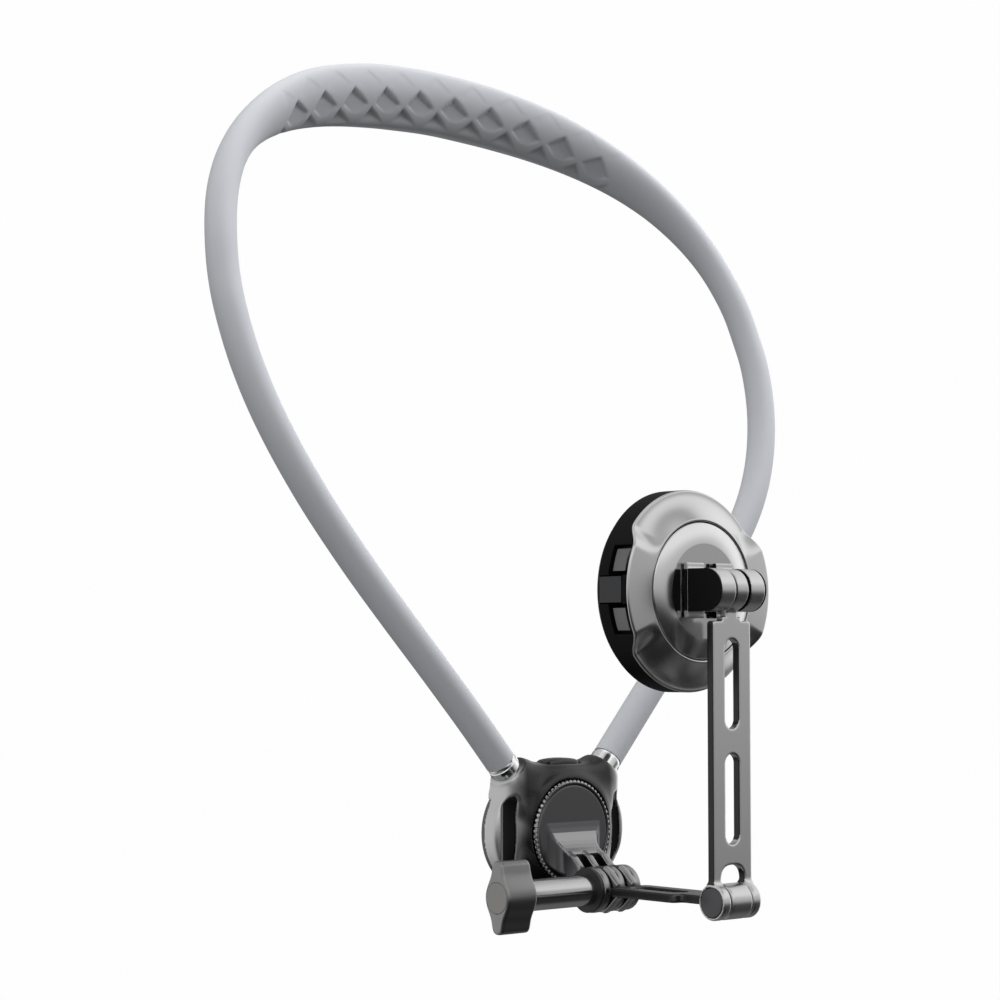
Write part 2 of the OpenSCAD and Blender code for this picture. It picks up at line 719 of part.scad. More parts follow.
// Outline of the arch at the arm's foot, with round upper corners.
module arch_cut() {
  translate([-arch_half, -cut]) square([2 * arch_half, arch_top - arch_round + cut]);
  translate([arch_round - arch_half, 0]) square([2 * (arch_half - arch_round), arch_top]);
  for (side = [-1, 1])
    translate([side * (arch_half - arch_round), arch_top - arch_round]) circle(arch_round);
}
knuckle_half = 0.285 * bar_wide / 2;
cap_r = hinge_r * 0.86;
cap_thick = bar_wide / 18;
module at_low() {
  at_prong() translate([0, -link_len, 0]) children();
}
module upper_arm() {
  color("grey") at_low() difference() {
    union() {
      translate([0, bar_thick / 2, 0]) along_front() linear_extrude(bar_thick) difference() {
        union() {
          translate([-bar_wide / 2, 0]) square([bar_wide, arm_top]);
          translate([-knuckle_half, 0]) square([2 * knuckle_half, arm_len]);
          translate([-1.6 * knuckle_half, 0]) square([3.2 * knuckle_half, arm_top + knuckle_half / 2]);
        }
        for (i = [0, 1])
          bar_slot(slot_low + i * slot_pitch, slot_low + i * slot_pitch + slot_long, slot_wide);
        arch_cut();
      }
      for (side = [-1, 1])
        translate([side * (neck_half + bar_wide / 2) / 2, 0, 0]) rotate([0, 90, 0])
        cylinder(h = bar_wide / 2 - neck_half, r = hinge_r, center = true);
      translate([0, 0, arm_len]) rotate([0, 90, 0])
        cylinder(h = 2 * knuckle_half, r = barrel_r, center = true);
    }
    rotate([0, 90, 0]) cylinder(h = 2 * neck_half, r = hinge_r + 2 * slide_gap, center = true);
    rotate([0, 90, 0]) cylinder(h = 2 * bar_wide, r = pin_r, center = true);
    for (side = [-1, 1])
      translate([side * (bar_wide / 2 - cap_thick / 2), 0, 0]) rotate([0, 90, 0])
      cylinder(h = cap_thick, r = cap_r, center = true);
    translate([0, 0, arm_len]) rotate([0, 90, 0])
      cylinder(h = 2 * bar_wide, r = pin_r + shaft_gap, center = true);
  }
}
module lower_hinge_pin() {
  color("silver") at_low() rotate([0, 90, 0])
    cylinder(h = bar_wide - 2 * cap_thick, r = pin_r, center = true);
}
module lower_pin_caps() {
  color("black") at_low()
    for (side = [-1, 1])
    translate([side * (bar_wide / 2 - cap_thick / 2), 0, 0]) rotate([0, 90, 0])
    cylinder(h = cap_thick, r = cap_r, center = true);
}

// Fork of the upper hinge and the boss behind it, drawn about the upper hinge axis.
barrel_r = 0.96 * fork_r;
side_thick = fork_wide / 40;
fork_half = fork_wide / 2;
fork_back = 1.4 * fork_r;
boss_end = 1.5 * fork_r;
plate_face = fork_out - boss_end;
lip_half = 0.26 * fork_half;
lip_mid = (fork_half + lip_half) / 2;
lip_tall = 1.3 * fork_r;
fork_web = fork_r / 4;
module at_high() {
  at_low() translate([0, 0, arm_len]) children();
}
module fork_outline(r) {
  circle(r);
  translate([0, -r]) square([fork_back, 2 * r]);
}
module swivel_fork() {
  color("grey") at_high() difference() {
    union() {
      for (side = [-1, 1])
        translate([side * (fork_half - side_thick + slide_gap + knuckle_half) / 2, 0, 0]) {
        across(fork_half - side_thick - slide_gap - knuckle_half) fork_outline(fork_r);
      }
      translate([-fork_half, fork_back - fork_web, -fork_r])
        cube([2 * fork_half, fork_web, 2 * fork_r]);
      for (side = [-1, 1])
        translate([side * lip_mid - (fork_half - lip_half) / 2, fork_back - fork_web, -lip_tall])
        cube([fork_half - lip_half, fork_web, 2 * lip_tall]);
    }
    rotate([0, 90, 0]) cylinder(h = 2 * fork_wide, r = pin_r, center = true);
    translate([0, fork_back + cut, 0]) along_front() cylinder(h = fork_r, r = boss_screw_r);
  }
}
boss_screw_r = fork_r / 4.5;
module fork_side_plates() {
  color("black") at_high()
    for (side = [-1, 1])
    translate([side * (fork_half - side_thick / 2), 0, 0]) difference() {
    across(side_thick) fork_outline(fork_r);
    translate([-fork_half, fork_back - fork_web, -2 * fork_r])
      cube([2 * fork_half, fork_r, 4 * fork_r]);
  }
}
module upper_hinge_pin() {
  color("silver") at_high() rotate([0, 90, 0])
    cylinder(h = fork_wide - 2 * side_thick, r = pin_r, center = true);
}
module fork_boss() {
  color("grey") at_high() translate([0, fork_back, 0]) along_back() difference() {
    intersection() {
      cylinder(h = boss_end - fork_back, r = fork_half);
      translate([-fork_half, -fork_r * 1.08, 0]) cube([2 * fork_half, 2 * fork_r * 1.08, boss_end]);
    }
    translate([0, 0, -cut]) cylinder(h = fork_out, r = boss_screw_r);
  }
}

head_deep = head_deep_share * head_r;
plate_r = plate_share * head_r;
magnet_r = magnet_share * head_r;
// Magnetic head, drawn about its own axis from the phone's back (Y = 0) towards -Y.
module at_head() {
  at_high() translate([0, fork_out, 0]) children();
}
pad_soft = head_r / 33;
shell_y = -0.3 * head_r;
hole_r = plate_r + slide_gap;
disc_plate_r = 0.7 * plate_r;
plate_back = -0.29 * head_r;
hub_bore_r = 0.32 * plate_r;
web_y = -0.2 * head_r;
web_thick = 0.05 * head_r;
hub_end = -web_y - web_thick - slide_gap;
retainer_thick = 0.03 * head_r;
screw_tip = fork_out - fork_back + 0.22 * fork_r;
wall = 0.06 * head_r;
module centre_plate() {
  color("silver") at_head() difference() {
    union() {
      along_front() rotate_extrude() polygon([
          [0, -plate_back], [plate_r, -plate_back], [plate_r, head_deep - slide_gap],
          [plate_r - slide_gap, head_deep], [disc_plate_r, plate_face],
          [disc_plate_r, plate_face - wall / 2], [0, plate_face - wall / 2]
      ]);
      translate([0, -hub_end, 0]) along_front()
        cylinder(h = -plate_back - hub_end + wall / 2, r = hub_bore_r);
    }
    translate([0, cut, 0]) along_front() cylinder(h = 2 * head_deep, r = boss_screw_r);
  }
}
module plate_disc() {
  color("grey") at_head() translate([0, -plate_face + wall / 2, 0]) along_front() difference() {
    cylinder(h = wall / 2, r = disc_plate_r);
    translate([0, 0, -cut]) cylinder(h = head_deep, r = boss_screw_r);
  }
}
module retaining_plate() {
  color("goldenrod") at_head() translate([0, retainer_thick - hub_end, 0]) along_front() difference() {
    cylinder(h = retainer_thick, r = plate_r * 0.6);
    translate([0, 0, -cut]) cylinder(h = head_deep, r = boss_screw_r);
  }
}
module swivel_screw() {
  color("silver") at_head() translate([0, retainer_thick - hub_end, 0]) {
    along_front() cylinder(h = screw_tip - hub_end + retainer_thick, r = boss_screw_r);
    along_back() difference() {
      cylinder(h = wall * 0.6, r = 2 * boss_screw_r);
      translate([0, 0, wall / 4]) cylinder(h = wall, r = boss_screw_r, $fn = 6);
    }
  }
}
tab_half = 0.126 * head_r;
tab_slot_y = -0.37 * head_r;
tab_slot_deep = 0.3 * head_r;
window_half = 0.14 * head_r;
window_mid = 0.285 * head_r;
window_deep = 0.22 * head_r;
window_in = 0.16 * head_r;
window_block = 0.03 * head_r;
window_y = -0.42 * head_r;
tab_in = 0.14 * head_r;
module tab_ways(grow) {
  for (side = [-1, 1])
    translate([side * (head_r - tab_in / 2 + cut), 0, 0])
    translate([-tab_in / 2 - cut, tab_slot_y - grow, -tab_half - grow])
    cube([tab_in + 2 * cut, tab_slot_deep + 2 * grow, 2 * (tab_half + grow)]);
}
// Radius of the front cover against depth: a rim, a hollow flare and the groove.
module cover_profile() {
  polygon([
      [hole_r, -shell_y], [head_r, -shell_y], [head_r, -shell_y + wall / 3], [0.93 * head_r,
        0.36 * head_r],
      [0.86 * head_r, 0.39 * head_r], [0.79 * head_r, 0.43 * head_r], [0.73 * head_r,
        head_deep - slide_gap],
      [hole_r + slide_gap, head_deep], [hole_r, head_deep - slide_gap]
  ]);
}
// The two side ears: a round swelling on each side that keeps the full radius further forward.
ear_bulge_r = 0.65 * head_r;
ear_bulge_x = head_r - 0.98 * ear_bulge_r;
ear_spread = tan(29);
ear_in_r = 0.8 * head_r;
ear_wall_r = 0.9 * head_r;
ear_side_y = 0.45 * head_r;
ear_front_y = 0.48 * head_r;
module ear_swelling() {
  along_front() linear_extrude(2 * head_deep)
    for (side = [-1, 1])
    translate([side * ear_bulge_x, 0]) circle(ear_bulge_r);
}
// The part of the rim, from the given depth, that the rear shell takes up beside the tabs.
module ear_wall(from_y, outer_r) {
  intersection() {
    along_front() linear_extrude(2 * head_deep)
      for (side = [-1, 1])
      polygon([
        [0, 0], [side * 2 * head_r, -2 * head_r * ear_spread], [side * 2 * head_r,
          2 * head_r * ear_spread]
    ]);
    along_front() rotate_extrude()
      translate([ear_wall_r, from_y]) square([outer_r - ear_wall_r, ear_side_y - from_y]);
  }
}
module front_cover() {
  color("silver") at_head() difference() {
    union() {
      along_front() rotate_extrude() cover_profile();
      intersection() {
        ear_swelling();
        along_front() rotate_extrude() polygon([
            [ear_in_r - wall, -shell_y], [head_r, -shell_y], [head_r, ear_side_y],
            [head_r - wall / 4, ear_front_y], [ear_in_r, ear_front_y], [ear_in_r - 2 * wall, ear_side_y]
        ]);
      }
    }
    tab_ways(slide_gap);
    window_room();
    ear_wall(-shell_y - cut, head_r + cut);
    shell_screw_places() cylinder(h = shell_screw_len + slide_gap, r = shell_screw_r + shaft_gap);
  }
}
module window_places() {
  for (side = [0, 1])
    for (up = [-1, 1])
    mirror([side, 0, 0])
      translate([head_r - window_in, window_y, up * window_mid - window_half]) children();
}
module window_room() {
  window_places() cube([window_in + cut, window_deep, 2 * window_half]);
}
module window_blocks() {
  color("grey") at_head() window_places() translate([0, slide_gap, slide_gap])
    cube([window_block, window_deep - 2 * slide_gap, 2 * (window_half - slide_gap)]);
}
module rear_shell() {
  color("black") at_head() difference() {
    union() {
      translate([0, -pad_soft, 0]) along_front() cylinder(h = -shell_y - pad_soft, r = head_r);
      intersection() {
        ear_swelling();
        ear_wall(pad_soft, head_r);
      }
    }
    // Room for the magnets from behind, and for the tabs' springs and the screw from the front.
    translate([0, cut, 0]) along_front() cylinder(h = cut + magnet_y, r = magnet_r + slide_gap);
    translate([0, web_y, 0]) along_front() cylinder(h = head_deep, r = head_r - 2 * wall - tab_in);
    along_front() cylinder(h = head_deep, r = hub_bore_r + shaft_gap);
    translate([0, cut, 0]) along_front()
      cylinder(h = -web_y - web_thick + cut, r = plate_r * 0.6 + slide_gap);
    tab_ways(slide_gap);
    window_room();
    shell_screw_places() cylinder(h = head_deep, r = shell_screw_r + shaft_gap);
  }
}
magnet_thick = 0.045 * head_r;
shunt_thick = 0.02 * head_r;
magnet_y = pad_soft + magnet_thick + shunt_thick;
magnet_in_r = 0.86 * magnet_r;
module ring_solid(outer, inner, tall) {
  difference() {
    cylinder(h = tall, r = outer);
    translate([0, 0, -cut]) cylinder(h = tall + 2 * cut, r = inner);
  }
}
module shunt_ring() {
  color("grey") at_head() translate([0, -magnet_y + shunt_thick, 0]) along_front()
    ring_solid(magnet_r, magnet_in_r, shunt_thick);
}
module magnet_ring() {
  color("silver") at_head() translate([0, -pad_soft, 0]) along_front() difference() {
    ring_solid(magnet_r, magnet_in_r, magnet_thick);
    for (i = [0 : magnet_count - 1])
      rotate(360 * i / magnet_count) translate([magnet_r, 0, 0])
        cube([magnet_r, slide_gap, 4 * magnet_thick], center = true);
  }
}
module face_pad() {
  color("black") at_head() along_front() cylinder(h = pad_soft, r = head_r - wall / 2);
}
shell_screw_r = head_r / 30;
shell_screw_at = 0.84 * head_r;
shell_screw_len = -1.08 * shell_y - magnet_y;
module shell_screw_places() {
  for (a = [45, 135, 225, 315])
    rotate([0, a, 0]) translate([shell_screw_at, -magnet_y, 0]) along_front() children();
}
module shell_screws() {
  color("silver") at_head() shell_screw_places() cylinder(h = shell_screw_len, r = shell_screw_r);
}
tab_head_thick = tab_in / 3;
module tab(side) {
  at_head() mirror([side < 0 ? 1 : 0, 0, 0]) {
    translate([head_r - tab_head_thick, tab_slot_y, -tab_half])
      cube([tab_head_thick, tab_slot_deep, 2 * tab_half]);
  }
}
module tab_left() {
  color("dimgrey") tab(-1);
}
module tab_right() {
  color("dimgrey") tab(1);
}
module tab_springs() {
  color("silver") at_head()
    for (side = [-1, 1])
    mirror([side < 0 ? 1 : 0, 0, 0])
    translate([head_r - tab_in, tab_slot_y + tab_slot_deep / 2, 0]) rotate([0, 90, 0])
    cylinder(h = tab_in - tab_head_thick - tab_travel - slide_gap, r = tab_half / 2);
}

band_sleeve();
band_core();
ferrule_right();
ferrule_left();
hub_front_shell();
hub_back_cover();
chest_pad();
cover_screws();
core_clamps();
release_button();
button_spring();
turntable();
serrated_ring();
index_washer();
turntable_screw();
hex_nut();
knob_head();
knob_plug();
knob_barrel();
knob_flange();
clamp_screw();
lower_link();
upper_arm();
lower_hinge_pin();
lower_pin_caps();
upper_hinge_pin();
swivel_fork();
fork_side_plates();
fork_boss();
centre_plate();
plate_disc();
retaining_plate();
swivel_screw();
front_cover();
rear_shell();
shunt_ring();
magnet_ring();
face_pad();
shell_screws();
tab_left();
tab_right();
tab_springs();
window_blocks();
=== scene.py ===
"""Neck-worn holder: a soft band round the neck, a chest hub, a link, an arm and a magnetic head."""

from math import cos, radians, sin

import bpy
import numpy as np
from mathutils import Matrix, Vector


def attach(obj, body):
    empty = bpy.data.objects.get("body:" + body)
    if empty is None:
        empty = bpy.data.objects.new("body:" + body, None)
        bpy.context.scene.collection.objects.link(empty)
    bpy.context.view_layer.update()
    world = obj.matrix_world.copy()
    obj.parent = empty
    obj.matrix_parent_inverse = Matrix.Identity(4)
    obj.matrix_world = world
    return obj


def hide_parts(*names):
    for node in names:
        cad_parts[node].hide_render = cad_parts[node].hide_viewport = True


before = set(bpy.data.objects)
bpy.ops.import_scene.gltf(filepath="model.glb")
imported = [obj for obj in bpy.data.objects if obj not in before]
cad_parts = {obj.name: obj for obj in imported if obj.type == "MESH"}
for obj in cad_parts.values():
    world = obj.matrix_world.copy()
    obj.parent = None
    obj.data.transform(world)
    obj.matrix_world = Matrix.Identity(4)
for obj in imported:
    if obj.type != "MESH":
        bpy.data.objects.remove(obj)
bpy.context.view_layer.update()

# Camera. It stands in front of the holder, on the left as seen from there, and looks slightly upwards.
# Its place and lens follow from the slant of long straight edges and from the round prongs.
camera_turn, camera_rise = radians(41.431), radians(3.578)
camera_at, camera_lens, camera_sensor = (-0.5673, -0.6774, -0.20129), 88.04, 36.0
look = Vector((sin(camera_turn) * cos(camera_rise), cos(camera_turn) * cos(camera_rise), sin(camera_rise)))
camera = bpy.data.objects.new("camera", bpy.data.cameras.new("camera"))
bpy.context.scene.collection.objects.link(camera)
camera.location = camera_at
camera.rotation_mode = "QUATERNION"
camera.rotation_quaternion = look.to_track_quat("-Z", "Y")
camera.data.sensor_width = camera_sensor
camera.data.lens = camera_lens
bpy.context.scene.camera = camera
bpy.context.scene.view_settings.view_transform = "Standard"

# Studio. The camera sees plain white. The light round the holder is soft and brighter from above,
# and glossy surfaces see bands of dark and bright in it, as in a product photograph.
backdrop_white = 0.99
world = bpy.data.worlds.new("studio")
bpy.context.scene.world = world
world.use_nodes = True
nodes, links = world.node_tree.nodes, world.node_tree.links
nodes.clear()
place = nodes.new("ShaderNodeTexCoord")
split = nodes.new("ShaderNodeSeparateXYZ")
links.new(place.outputs["Generated"], split.inputs[0])
lift = nodes.new("ShaderNodeMath")
lift.operation = "MULTIPLY_ADD"
lift.inputs[1].default_value, lift.inputs[2].default_value = 0.5, 0.5
links.new(split.outputs["Z"], lift.inputs[0])


def height_ramp(stops):
    """Grey against height in the studio: 0 straight down, 0.5 level, 1 straight up."""
    ramp = nodes.new("ShaderNodeValToRGB")
    ramp.color_ramp.interpolation = "EASE"
    for spot, value in stops:
        stop = ramp.color_ramp.elements.new(spot)
        stop.color = (value, value, value, 1)
    ramp.color_ramp.elements.remove(ramp.color_ramp.elements[0])
    ramp.color_ramp.elements.remove(ramp.color_ramp.elements[-1])
    links.new(lift.outputs[0], ramp.inputs[0])
    background = nodes.new("ShaderNodeBackground")
    links.new(ramp.outputs[0], background.inputs[0])
    return background


def toward(direction, low, high):
    """Share of the studio round a direction: 3t^2 - 2t^3 of t = (cosine - low) / (high - low)."""
    cosine, share = nodes.new("ShaderNodeVectorMath"), nodes.new("ShaderNodeMapRange")
    cosine.operation = "DOT_PRODUCT"
    cosine.inputs[1].default_value = Vector(direction).normalized()
    links.new(place.outputs["Generated"], cosine.inputs[0])
    share.interpolation_type = "SMOOTHSTEP"
    share.inputs["From Min"].default_value, share.inputs["From Max"].default_value = low, high
    links.new(cosine.outputs["Value"], share.inputs["Value"])
    return share.outputs["Result"]


def even_grey(strength):
    """Background of one grey."""
    background = nodes.new("ShaderNodeBackground")
    background.inputs[0].default_value = (1, 1, 1, 1)
    background.inputs[1].default_value = strength
    return background


def blended(share, first, second):
    """Background that goes from the first to the second with the share."""
    mix = nodes.new("ShaderNodeMixShader")
    links.new(share, mix.inputs[0])
    links.new(first.outputs[0], mix.inputs[1])
    links.new(second.outputs[0], mix.inputs[2])
    return mix


# What glossy surfaces see: a ramp in front of the holder and a dim room with a bright horizon behind
# it, then a pale screen behind it on the left, another on the right, and a dark patch low in front.
front_stops = (
    (0.0, 0.20), (0.12, 0.20), (0.2, 0.06), (0.4, 0.015), (0.455, 0.28), (0.52, 0.64), (0.62, 0.66),
    (0.73, 1.15), (0.84, 1.05), (0.91, 0.45), (1.0, 0.30),
)
behind_stops = (
    (0.0, 0.20), (0.2, 0.20), (0.35, 0.05), (0.45, 0.05), (0.5, 0.85), (0.55, 0.85), (0.6, 0.12),
    (0.9, 0.45), (1.0, 0.30),
)
patches = (
    ((-0.66, 0.75, 0.06), 0.45, 0.95, 0.8),
    ((1.0, 0.1, 0.15), 0.72, 0.97, 1.25),
    ((0.2, -0.55, -0.81), 0.78, 0.93, 0.02),
)
front = height_ramp(front_stops)
behind = height_ramp(behind_stops)
shine = blended(toward((0, 1, 0), -0.1, 0.55), front, behind)
for direction, low, high, strength in patches:
    shine = blended(toward(direction, low, high), shine, even_grey(strength))
soft = height_ramp(((0.0, 0.10), (0.45, 0.22), (0.6, 0.42), (1.0, 0.62)))
plain = even_grey(backdrop_white)
paths = nodes.new("ShaderNodeLightPath")
seen = blended(paths.outputs["Is Camera Ray"], blended(paths.outputs["Is Glossy Ray"], soft, shine), plain)
out = nodes.new("ShaderNodeOutputWorld")
links.new(seen.outputs[0], out.inputs[0])

lit_at = Vector((0, -0.07, -0.14))
for name, spot, size, power in (
    ("key", (0.95, -0.42, 0.78), 0.6, 13.0),
    ("top", (-0.25, 0.1, 1.1), 0.8, 5.0),
    ("fill", (-0.9, -1.0, 0.15), 0.8, 2.0),
):
    lamp = bpy.data.lights.new(name, "AREA")
    lamp.size, lamp.energy = size, power
    holder = bpy.data.objects.new(name, lamp)
    holder.location = spot
    holder.visible_glossy = False
    holder.rotation_mode = "QUATERNION"
    holder.rotation_quaternion = (lit_at - Vector(spot)).to_track_quat("-Z", "Y")
    bpy.context.scene.collection.objects.link(holder)

# Floor. A plain sheet well below the holder, which hangs free above it. The camera sees it nearly
# white, and it throws grey light on the holder from below.
floor_z, floor_half, floor_grey, floor_glow = -0.52, 6.0, 0.22, 0.985
corners = [(x * floor_half, y * floor_half, floor_z) for x, y in ((-1, -1), (1, -1), (1, 1), (-1, 1))]
floor_mesh = bpy.data.meshes.new("floor")
floor_mesh.from_pydata(corners, [], [(0, 1, 2, 3)])
floor = bpy.data.objects.new("floor", floor_mesh)
bpy.context.scene.collection.objects.link(floor)
paper = bpy.data.materials.new("floor_paper")
paper.use_nodes = True
nodes, links = paper.node_tree.nodes, paper.node_tree.links
nodes.clear()
sheet, glow = nodes.new("ShaderNodeBsdfDiffuse"), nodes.new("ShaderNodeEmission")
sheet.inputs["Color"].default_value = (floor_grey, floor_grey, floor_grey, 1)
glow.inputs["Color"].default_value = (1, 1, 1, 1)
glow.inputs["Strength"].default_value = 1.0
paths, share = nodes.new("ShaderNodeLightPath"), nodes.new("ShaderNodeMath")
blend = nodes.new("ShaderNodeMixShader")
share.operation = "MULTIPLY"
share.inputs[1].default_value = floor_glow
links.new(paths.outputs["Is Camera Ray"], share.inputs[0])
links.new(share.outputs[0], blend.inputs[0])
links.new(sheet.outputs[0], blend.inputs[1])
links.new(glow.outputs[0], blend.inputs[2])
out = nodes.new("ShaderNodeOutputMaterial")
links.new(blend.outputs[0], out.inputs[0])
floor_mesh.materials.append(paper)
floor.visible_glossy = False


# Neck band. Grey silicone moulded over the bendable rod: round in the legs and a wide flat pad at
# the nape, with a net of sunken diamonds on its inner face. Its ends sit on the two ferrules.
def finish_of(
    name, colour, metal, rough, grain=0.00001, grain_scale=2600, edge=0.0, coat=0.0, spread=0.06, specular=0.5
):
    """A principled finish. Roughness is rough + spread * (noise - 0.5), and the bump is grain
    times the same noise. The normal is softened over edge metres at sharp edges."""
    material = bpy.data.materials.new(name)
    material.use_nodes = True
    nodes, links = material.node_tree.nodes, material.node_tree.links
    shader = nodes["Principled BSDF"]
    shader.inputs["Base Color"].default_value = (*colour, 1)
    shader.inputs["Metallic"].default_value = metal
    shader.inputs["Specular IOR Level"].default_value = specular
    shader.inputs["Coat Weight"].default_value = coat
    shader.inputs["Coat Roughness"].default_value = 0.12
    where = nodes.new("ShaderNodeTexCoord")
    noise = nodes.new("ShaderNodeTexNoise")
    noise.inputs["Scale"].default_value = grain_scale
    noise.inputs["Detail"].default_value = 3.0
    links.new(where.outputs["Object"], noise.inputs["Vector"])
    remap = nodes.new("ShaderNodeMapRange")
    remap.inputs["To Min"].default_value = rough - spread / 2
    remap.inputs["To Max"].default_value = rough + spread / 2
    links.new(noise.outputs["Fac"], remap.inputs["Value"])
    links.new(remap.outputs["Result"], shader.inputs["Roughness"])
    bump = nodes.new("ShaderNodeBump")
    bump.inputs["Strength"].default_value = 0.25
    bump.inputs["Distance"].default_value = grain
    links.new(noise.outputs["Fac"], bump.inputs["Height"])
    if edge > 0:
        bevel = nodes.new("ShaderNodeBevel")
        bevel.samples = 4
        bevel.inputs["Radius"].default_value = edge
        links.new(bevel.outputs["Normal"], bump.inputs["Normal"])
    links.new(bump.outputs["Normal"], shader.inputs["Normal"])
    return material


def welded(points, faces):
    """The points to keep, one of each set that coincide, and the faces between them. A face loses its
    repeated corners, and a face with fewer than three corners left is dropped."""
    _, first, joined_to = np.unique(np.round(points, 8), axis=0, return_index=True, return_inverse=True)
    faces = joined_to.reshape(-1)[faces]
    whole = (faces != np.roll(faces, 1, axis=1)).all(axis=1)
    odd = [list(dict.fromkeys(row)) for row in faces[~whole].tolist()]
    return first, faces[whole].tolist() + [row for row in odd if len(row) > 2]


def second_finish(piece, finish, where):
    """Give another finish to the faces for which where(x, y, z, nx, ny, nz) holds, with the face's
    centre in metres and its normal."""
    count = len(piece.data.polygons)
    centre, normal = np.empty(3 * count), np.empty(3 * count)
    piece.data.polygons.foreach_get("center", centre)
    piece.data.polygons.foreach_get("normal", normal)
    chosen = where(*centre.reshape(-1, 3).T, *normal.reshape(-1, 3).T)
    slots = np.empty(count, np.int32)
    piece.data.polygons.foreach_get("material_index", slots)
    piece.data.materials.append(finish)
    slots[chosen] = len(piece.data.materials) - 1
    piece.data.polygons.foreach_set("material_index", slots)


def piece_of(name, points, faces, finish, body, *replaced, slot, shade=None, sharp_from=52):
    """One finished piece of the holder: its points in metres, its faces, its finish, its body, for each point
    the share of painted shade by which its finish is darker, and the angle from which an edge is sharp."""
    mesh = bpy.data.meshes.new(name)
    kept, skin = welded(np.asarray(points), np.asarray(faces))
    mesh.from_pydata(np.asarray(points)[kept].tolist(), [], skin)
    if shade is not None:
        mesh.attributes.new("shade", "FLOAT", "POINT").data.foreach_set("value", shade[kept])
    mesh.shade_smooth()
    mesh.set_sharp_from_angle(angle=radians(sharp_from))
    mesh.materials.append(finish)
    piece = bpy.data.objects.new(name, mesh)
    bpy.context.scene.collection.objects.link(piece)
    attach(piece, body)
    if replaced:
        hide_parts(*replaced)
    return piece


def tube_faces(rings, around, first=0, closed=False):
    """Four-cornered faces between each ring of points and the next; closed joins the last to the first."""
    index = first + np.arange(rings * around).reshape(rings, around)
    a, b = (index, np.roll(index, -1, axis=0)) if closed else (index[:-1], index[1:])
    return np.stack([a, np.roll(a, -1, axis=1), np.roll(b, -1, axis=1), b], axis=-1).reshape(-1, 4)


silicone = finish_of(
    "silicone_grey", (0.56, 0.575, 0.61), metal=0.0, rough=0.55, grain=0.00002, specular=0.35
)
# The attribute shade, from 0 to 1, is painted shade: it takes the silicone's colour down to black.
nodes, links = silicone.node_tree.nodes, silicone.node_tree.links
deeper, shade_of = nodes.new("ShaderNodeMix"), nodes.new("ShaderNodeAttribute")
deeper.data_type = "RGBA"
shade_of.attribute_name = "shade"
deeper.inputs["A"].default_value = nodes["Principled BSDF"].inputs["Base Color"].default_value
deeper.inputs["B"].default_value = (0, 0, 0, 1)
links.new(shade_of.outputs["Fac"], deeper.inputs["Factor"])
links.new(deeper.outputs["Result"], nodes["Principled BSDF"].inputs["Base Color"])

# Route of the band's centre from the nape to one end, as shares of its half width, its reach to the
# front and its drop, and the share of the pad's swell at each place.
route_shares = np.array(
    [
        [0.0000, 0.0000, 0.0000], [0.1665, 0.0148, -0.0042], [0.2732, 0.0385, -0.0109],
        [0.3823, 0.0710, -0.0211], [0.4922, 0.1124, -0.0358], [0.6021, 0.1672, -0.0573],
        [0.7071, 0.2352, -0.0859], [0.7998, 0.3092, -0.1213], [0.8720, 0.3861, -0.1613],
        [0.9237, 0.4601, -0.2026], [0.9582, 0.5251, -0.2430], [0.9844, 0.5947, -0.2906],
        [0.9975, 0.6538, -0.3394], [1.0000, 0.7160, -0.3883], [0.9852, 0.7825, -0.4485],
        [0.9549, 0.8388, -0.5058], [0.9106, 0.8861, -0.5605], [0.8523, 0.9216, -0.6140],
        [0.7810, 0.9408, -0.6658], [0.6727, 0.9586, -0.7340], [0.5554, 0.9749, -0.8019],
        [0.4315, 0.9882, -0.8709], [0.3035, 0.9970, -0.9425], [0.2038, 1.0000, -1.0000],
    ]
)
swell_shares = np.array([1, 0.99, 0.94, 0.86, 0.75, 0.6, 0.44, 0.29, 0.17, 0.08, 0.03, 0.01] + 12 * [0.0])
band_half_width, band_drop, band_reach, pad_mid_y = 0.1219, 0.23745, 0.0676, 0.0048
tube_r, pad_half_tall, pad_half_thick, pad_fullness = 0.0052, 0.0117, 0.0048, 0.3
neck_axis_share = 0.9
neck_axis_y = pad_mid_y - neck_axis_share * band_reach


def through_rows(before, rows, s):
    """Smooth curve through the rows: with rows a, b, c, d round the place s and t its fraction past b,
    b + (t (c-a) + t^2 (2a-5b+4c-d) + t^3 (3b-a-3c+d)) / 2. The row before stands ahead of the first."""
    rows = np.concatenate([[before], rows])
    s = s + 1
    i = np.minimum(np.floor(s).astype(int), len(rows) - 1)
    t = (s - i).reshape([-1] + [1] * (rows.ndim - 1))
    a, b, c, d = (rows[np.clip(i + k, 0, len(rows) - 1)] for k in (-1, 0, 1, 2))
    return b + (t * (c - a) + t**2 * (2 * a - 5 * b + 4 * c - d) + t**3 * (3 * b - a - 3 * c + d)) / 2


# Rings lie close together in the pad, where the diamonds are, and wider apart in the legs.
pad_rows, pad_rings, leg_rings = 7.0, 250, 80
half_places = np.concatenate(
    [
        np.linspace(0, pad_rows, pad_rings + 1)[1:],
        np.linspace(pad_rows, len(route_shares) - 1, leg_rings + 1)[1:],
    ]
)
places = np.concatenate([-half_places[::-1], [0.0], half_places])
band_size = np.array([band_half_width, -band_reach, band_drop])
half_line = through_rows(route_shares[1] * [-1, 1, 1], route_shares, np.abs(places)) * band_size
centre_line = half_line * np.stack([np.sign(places), 1 + 0 * places, 1 + 0 * places], axis=1)
centre_line[:, 1] += pad_mid_y
along = np.gradient(centre_line, axis=0)
along /= np.linalg.norm(along, axis=1, keepdims=True)
run = np.concatenate([[0], np.cumsum(np.linalg.norm(np.diff(centre_line, axis=0), axis=1))])
run -= run[len(run) // 2]
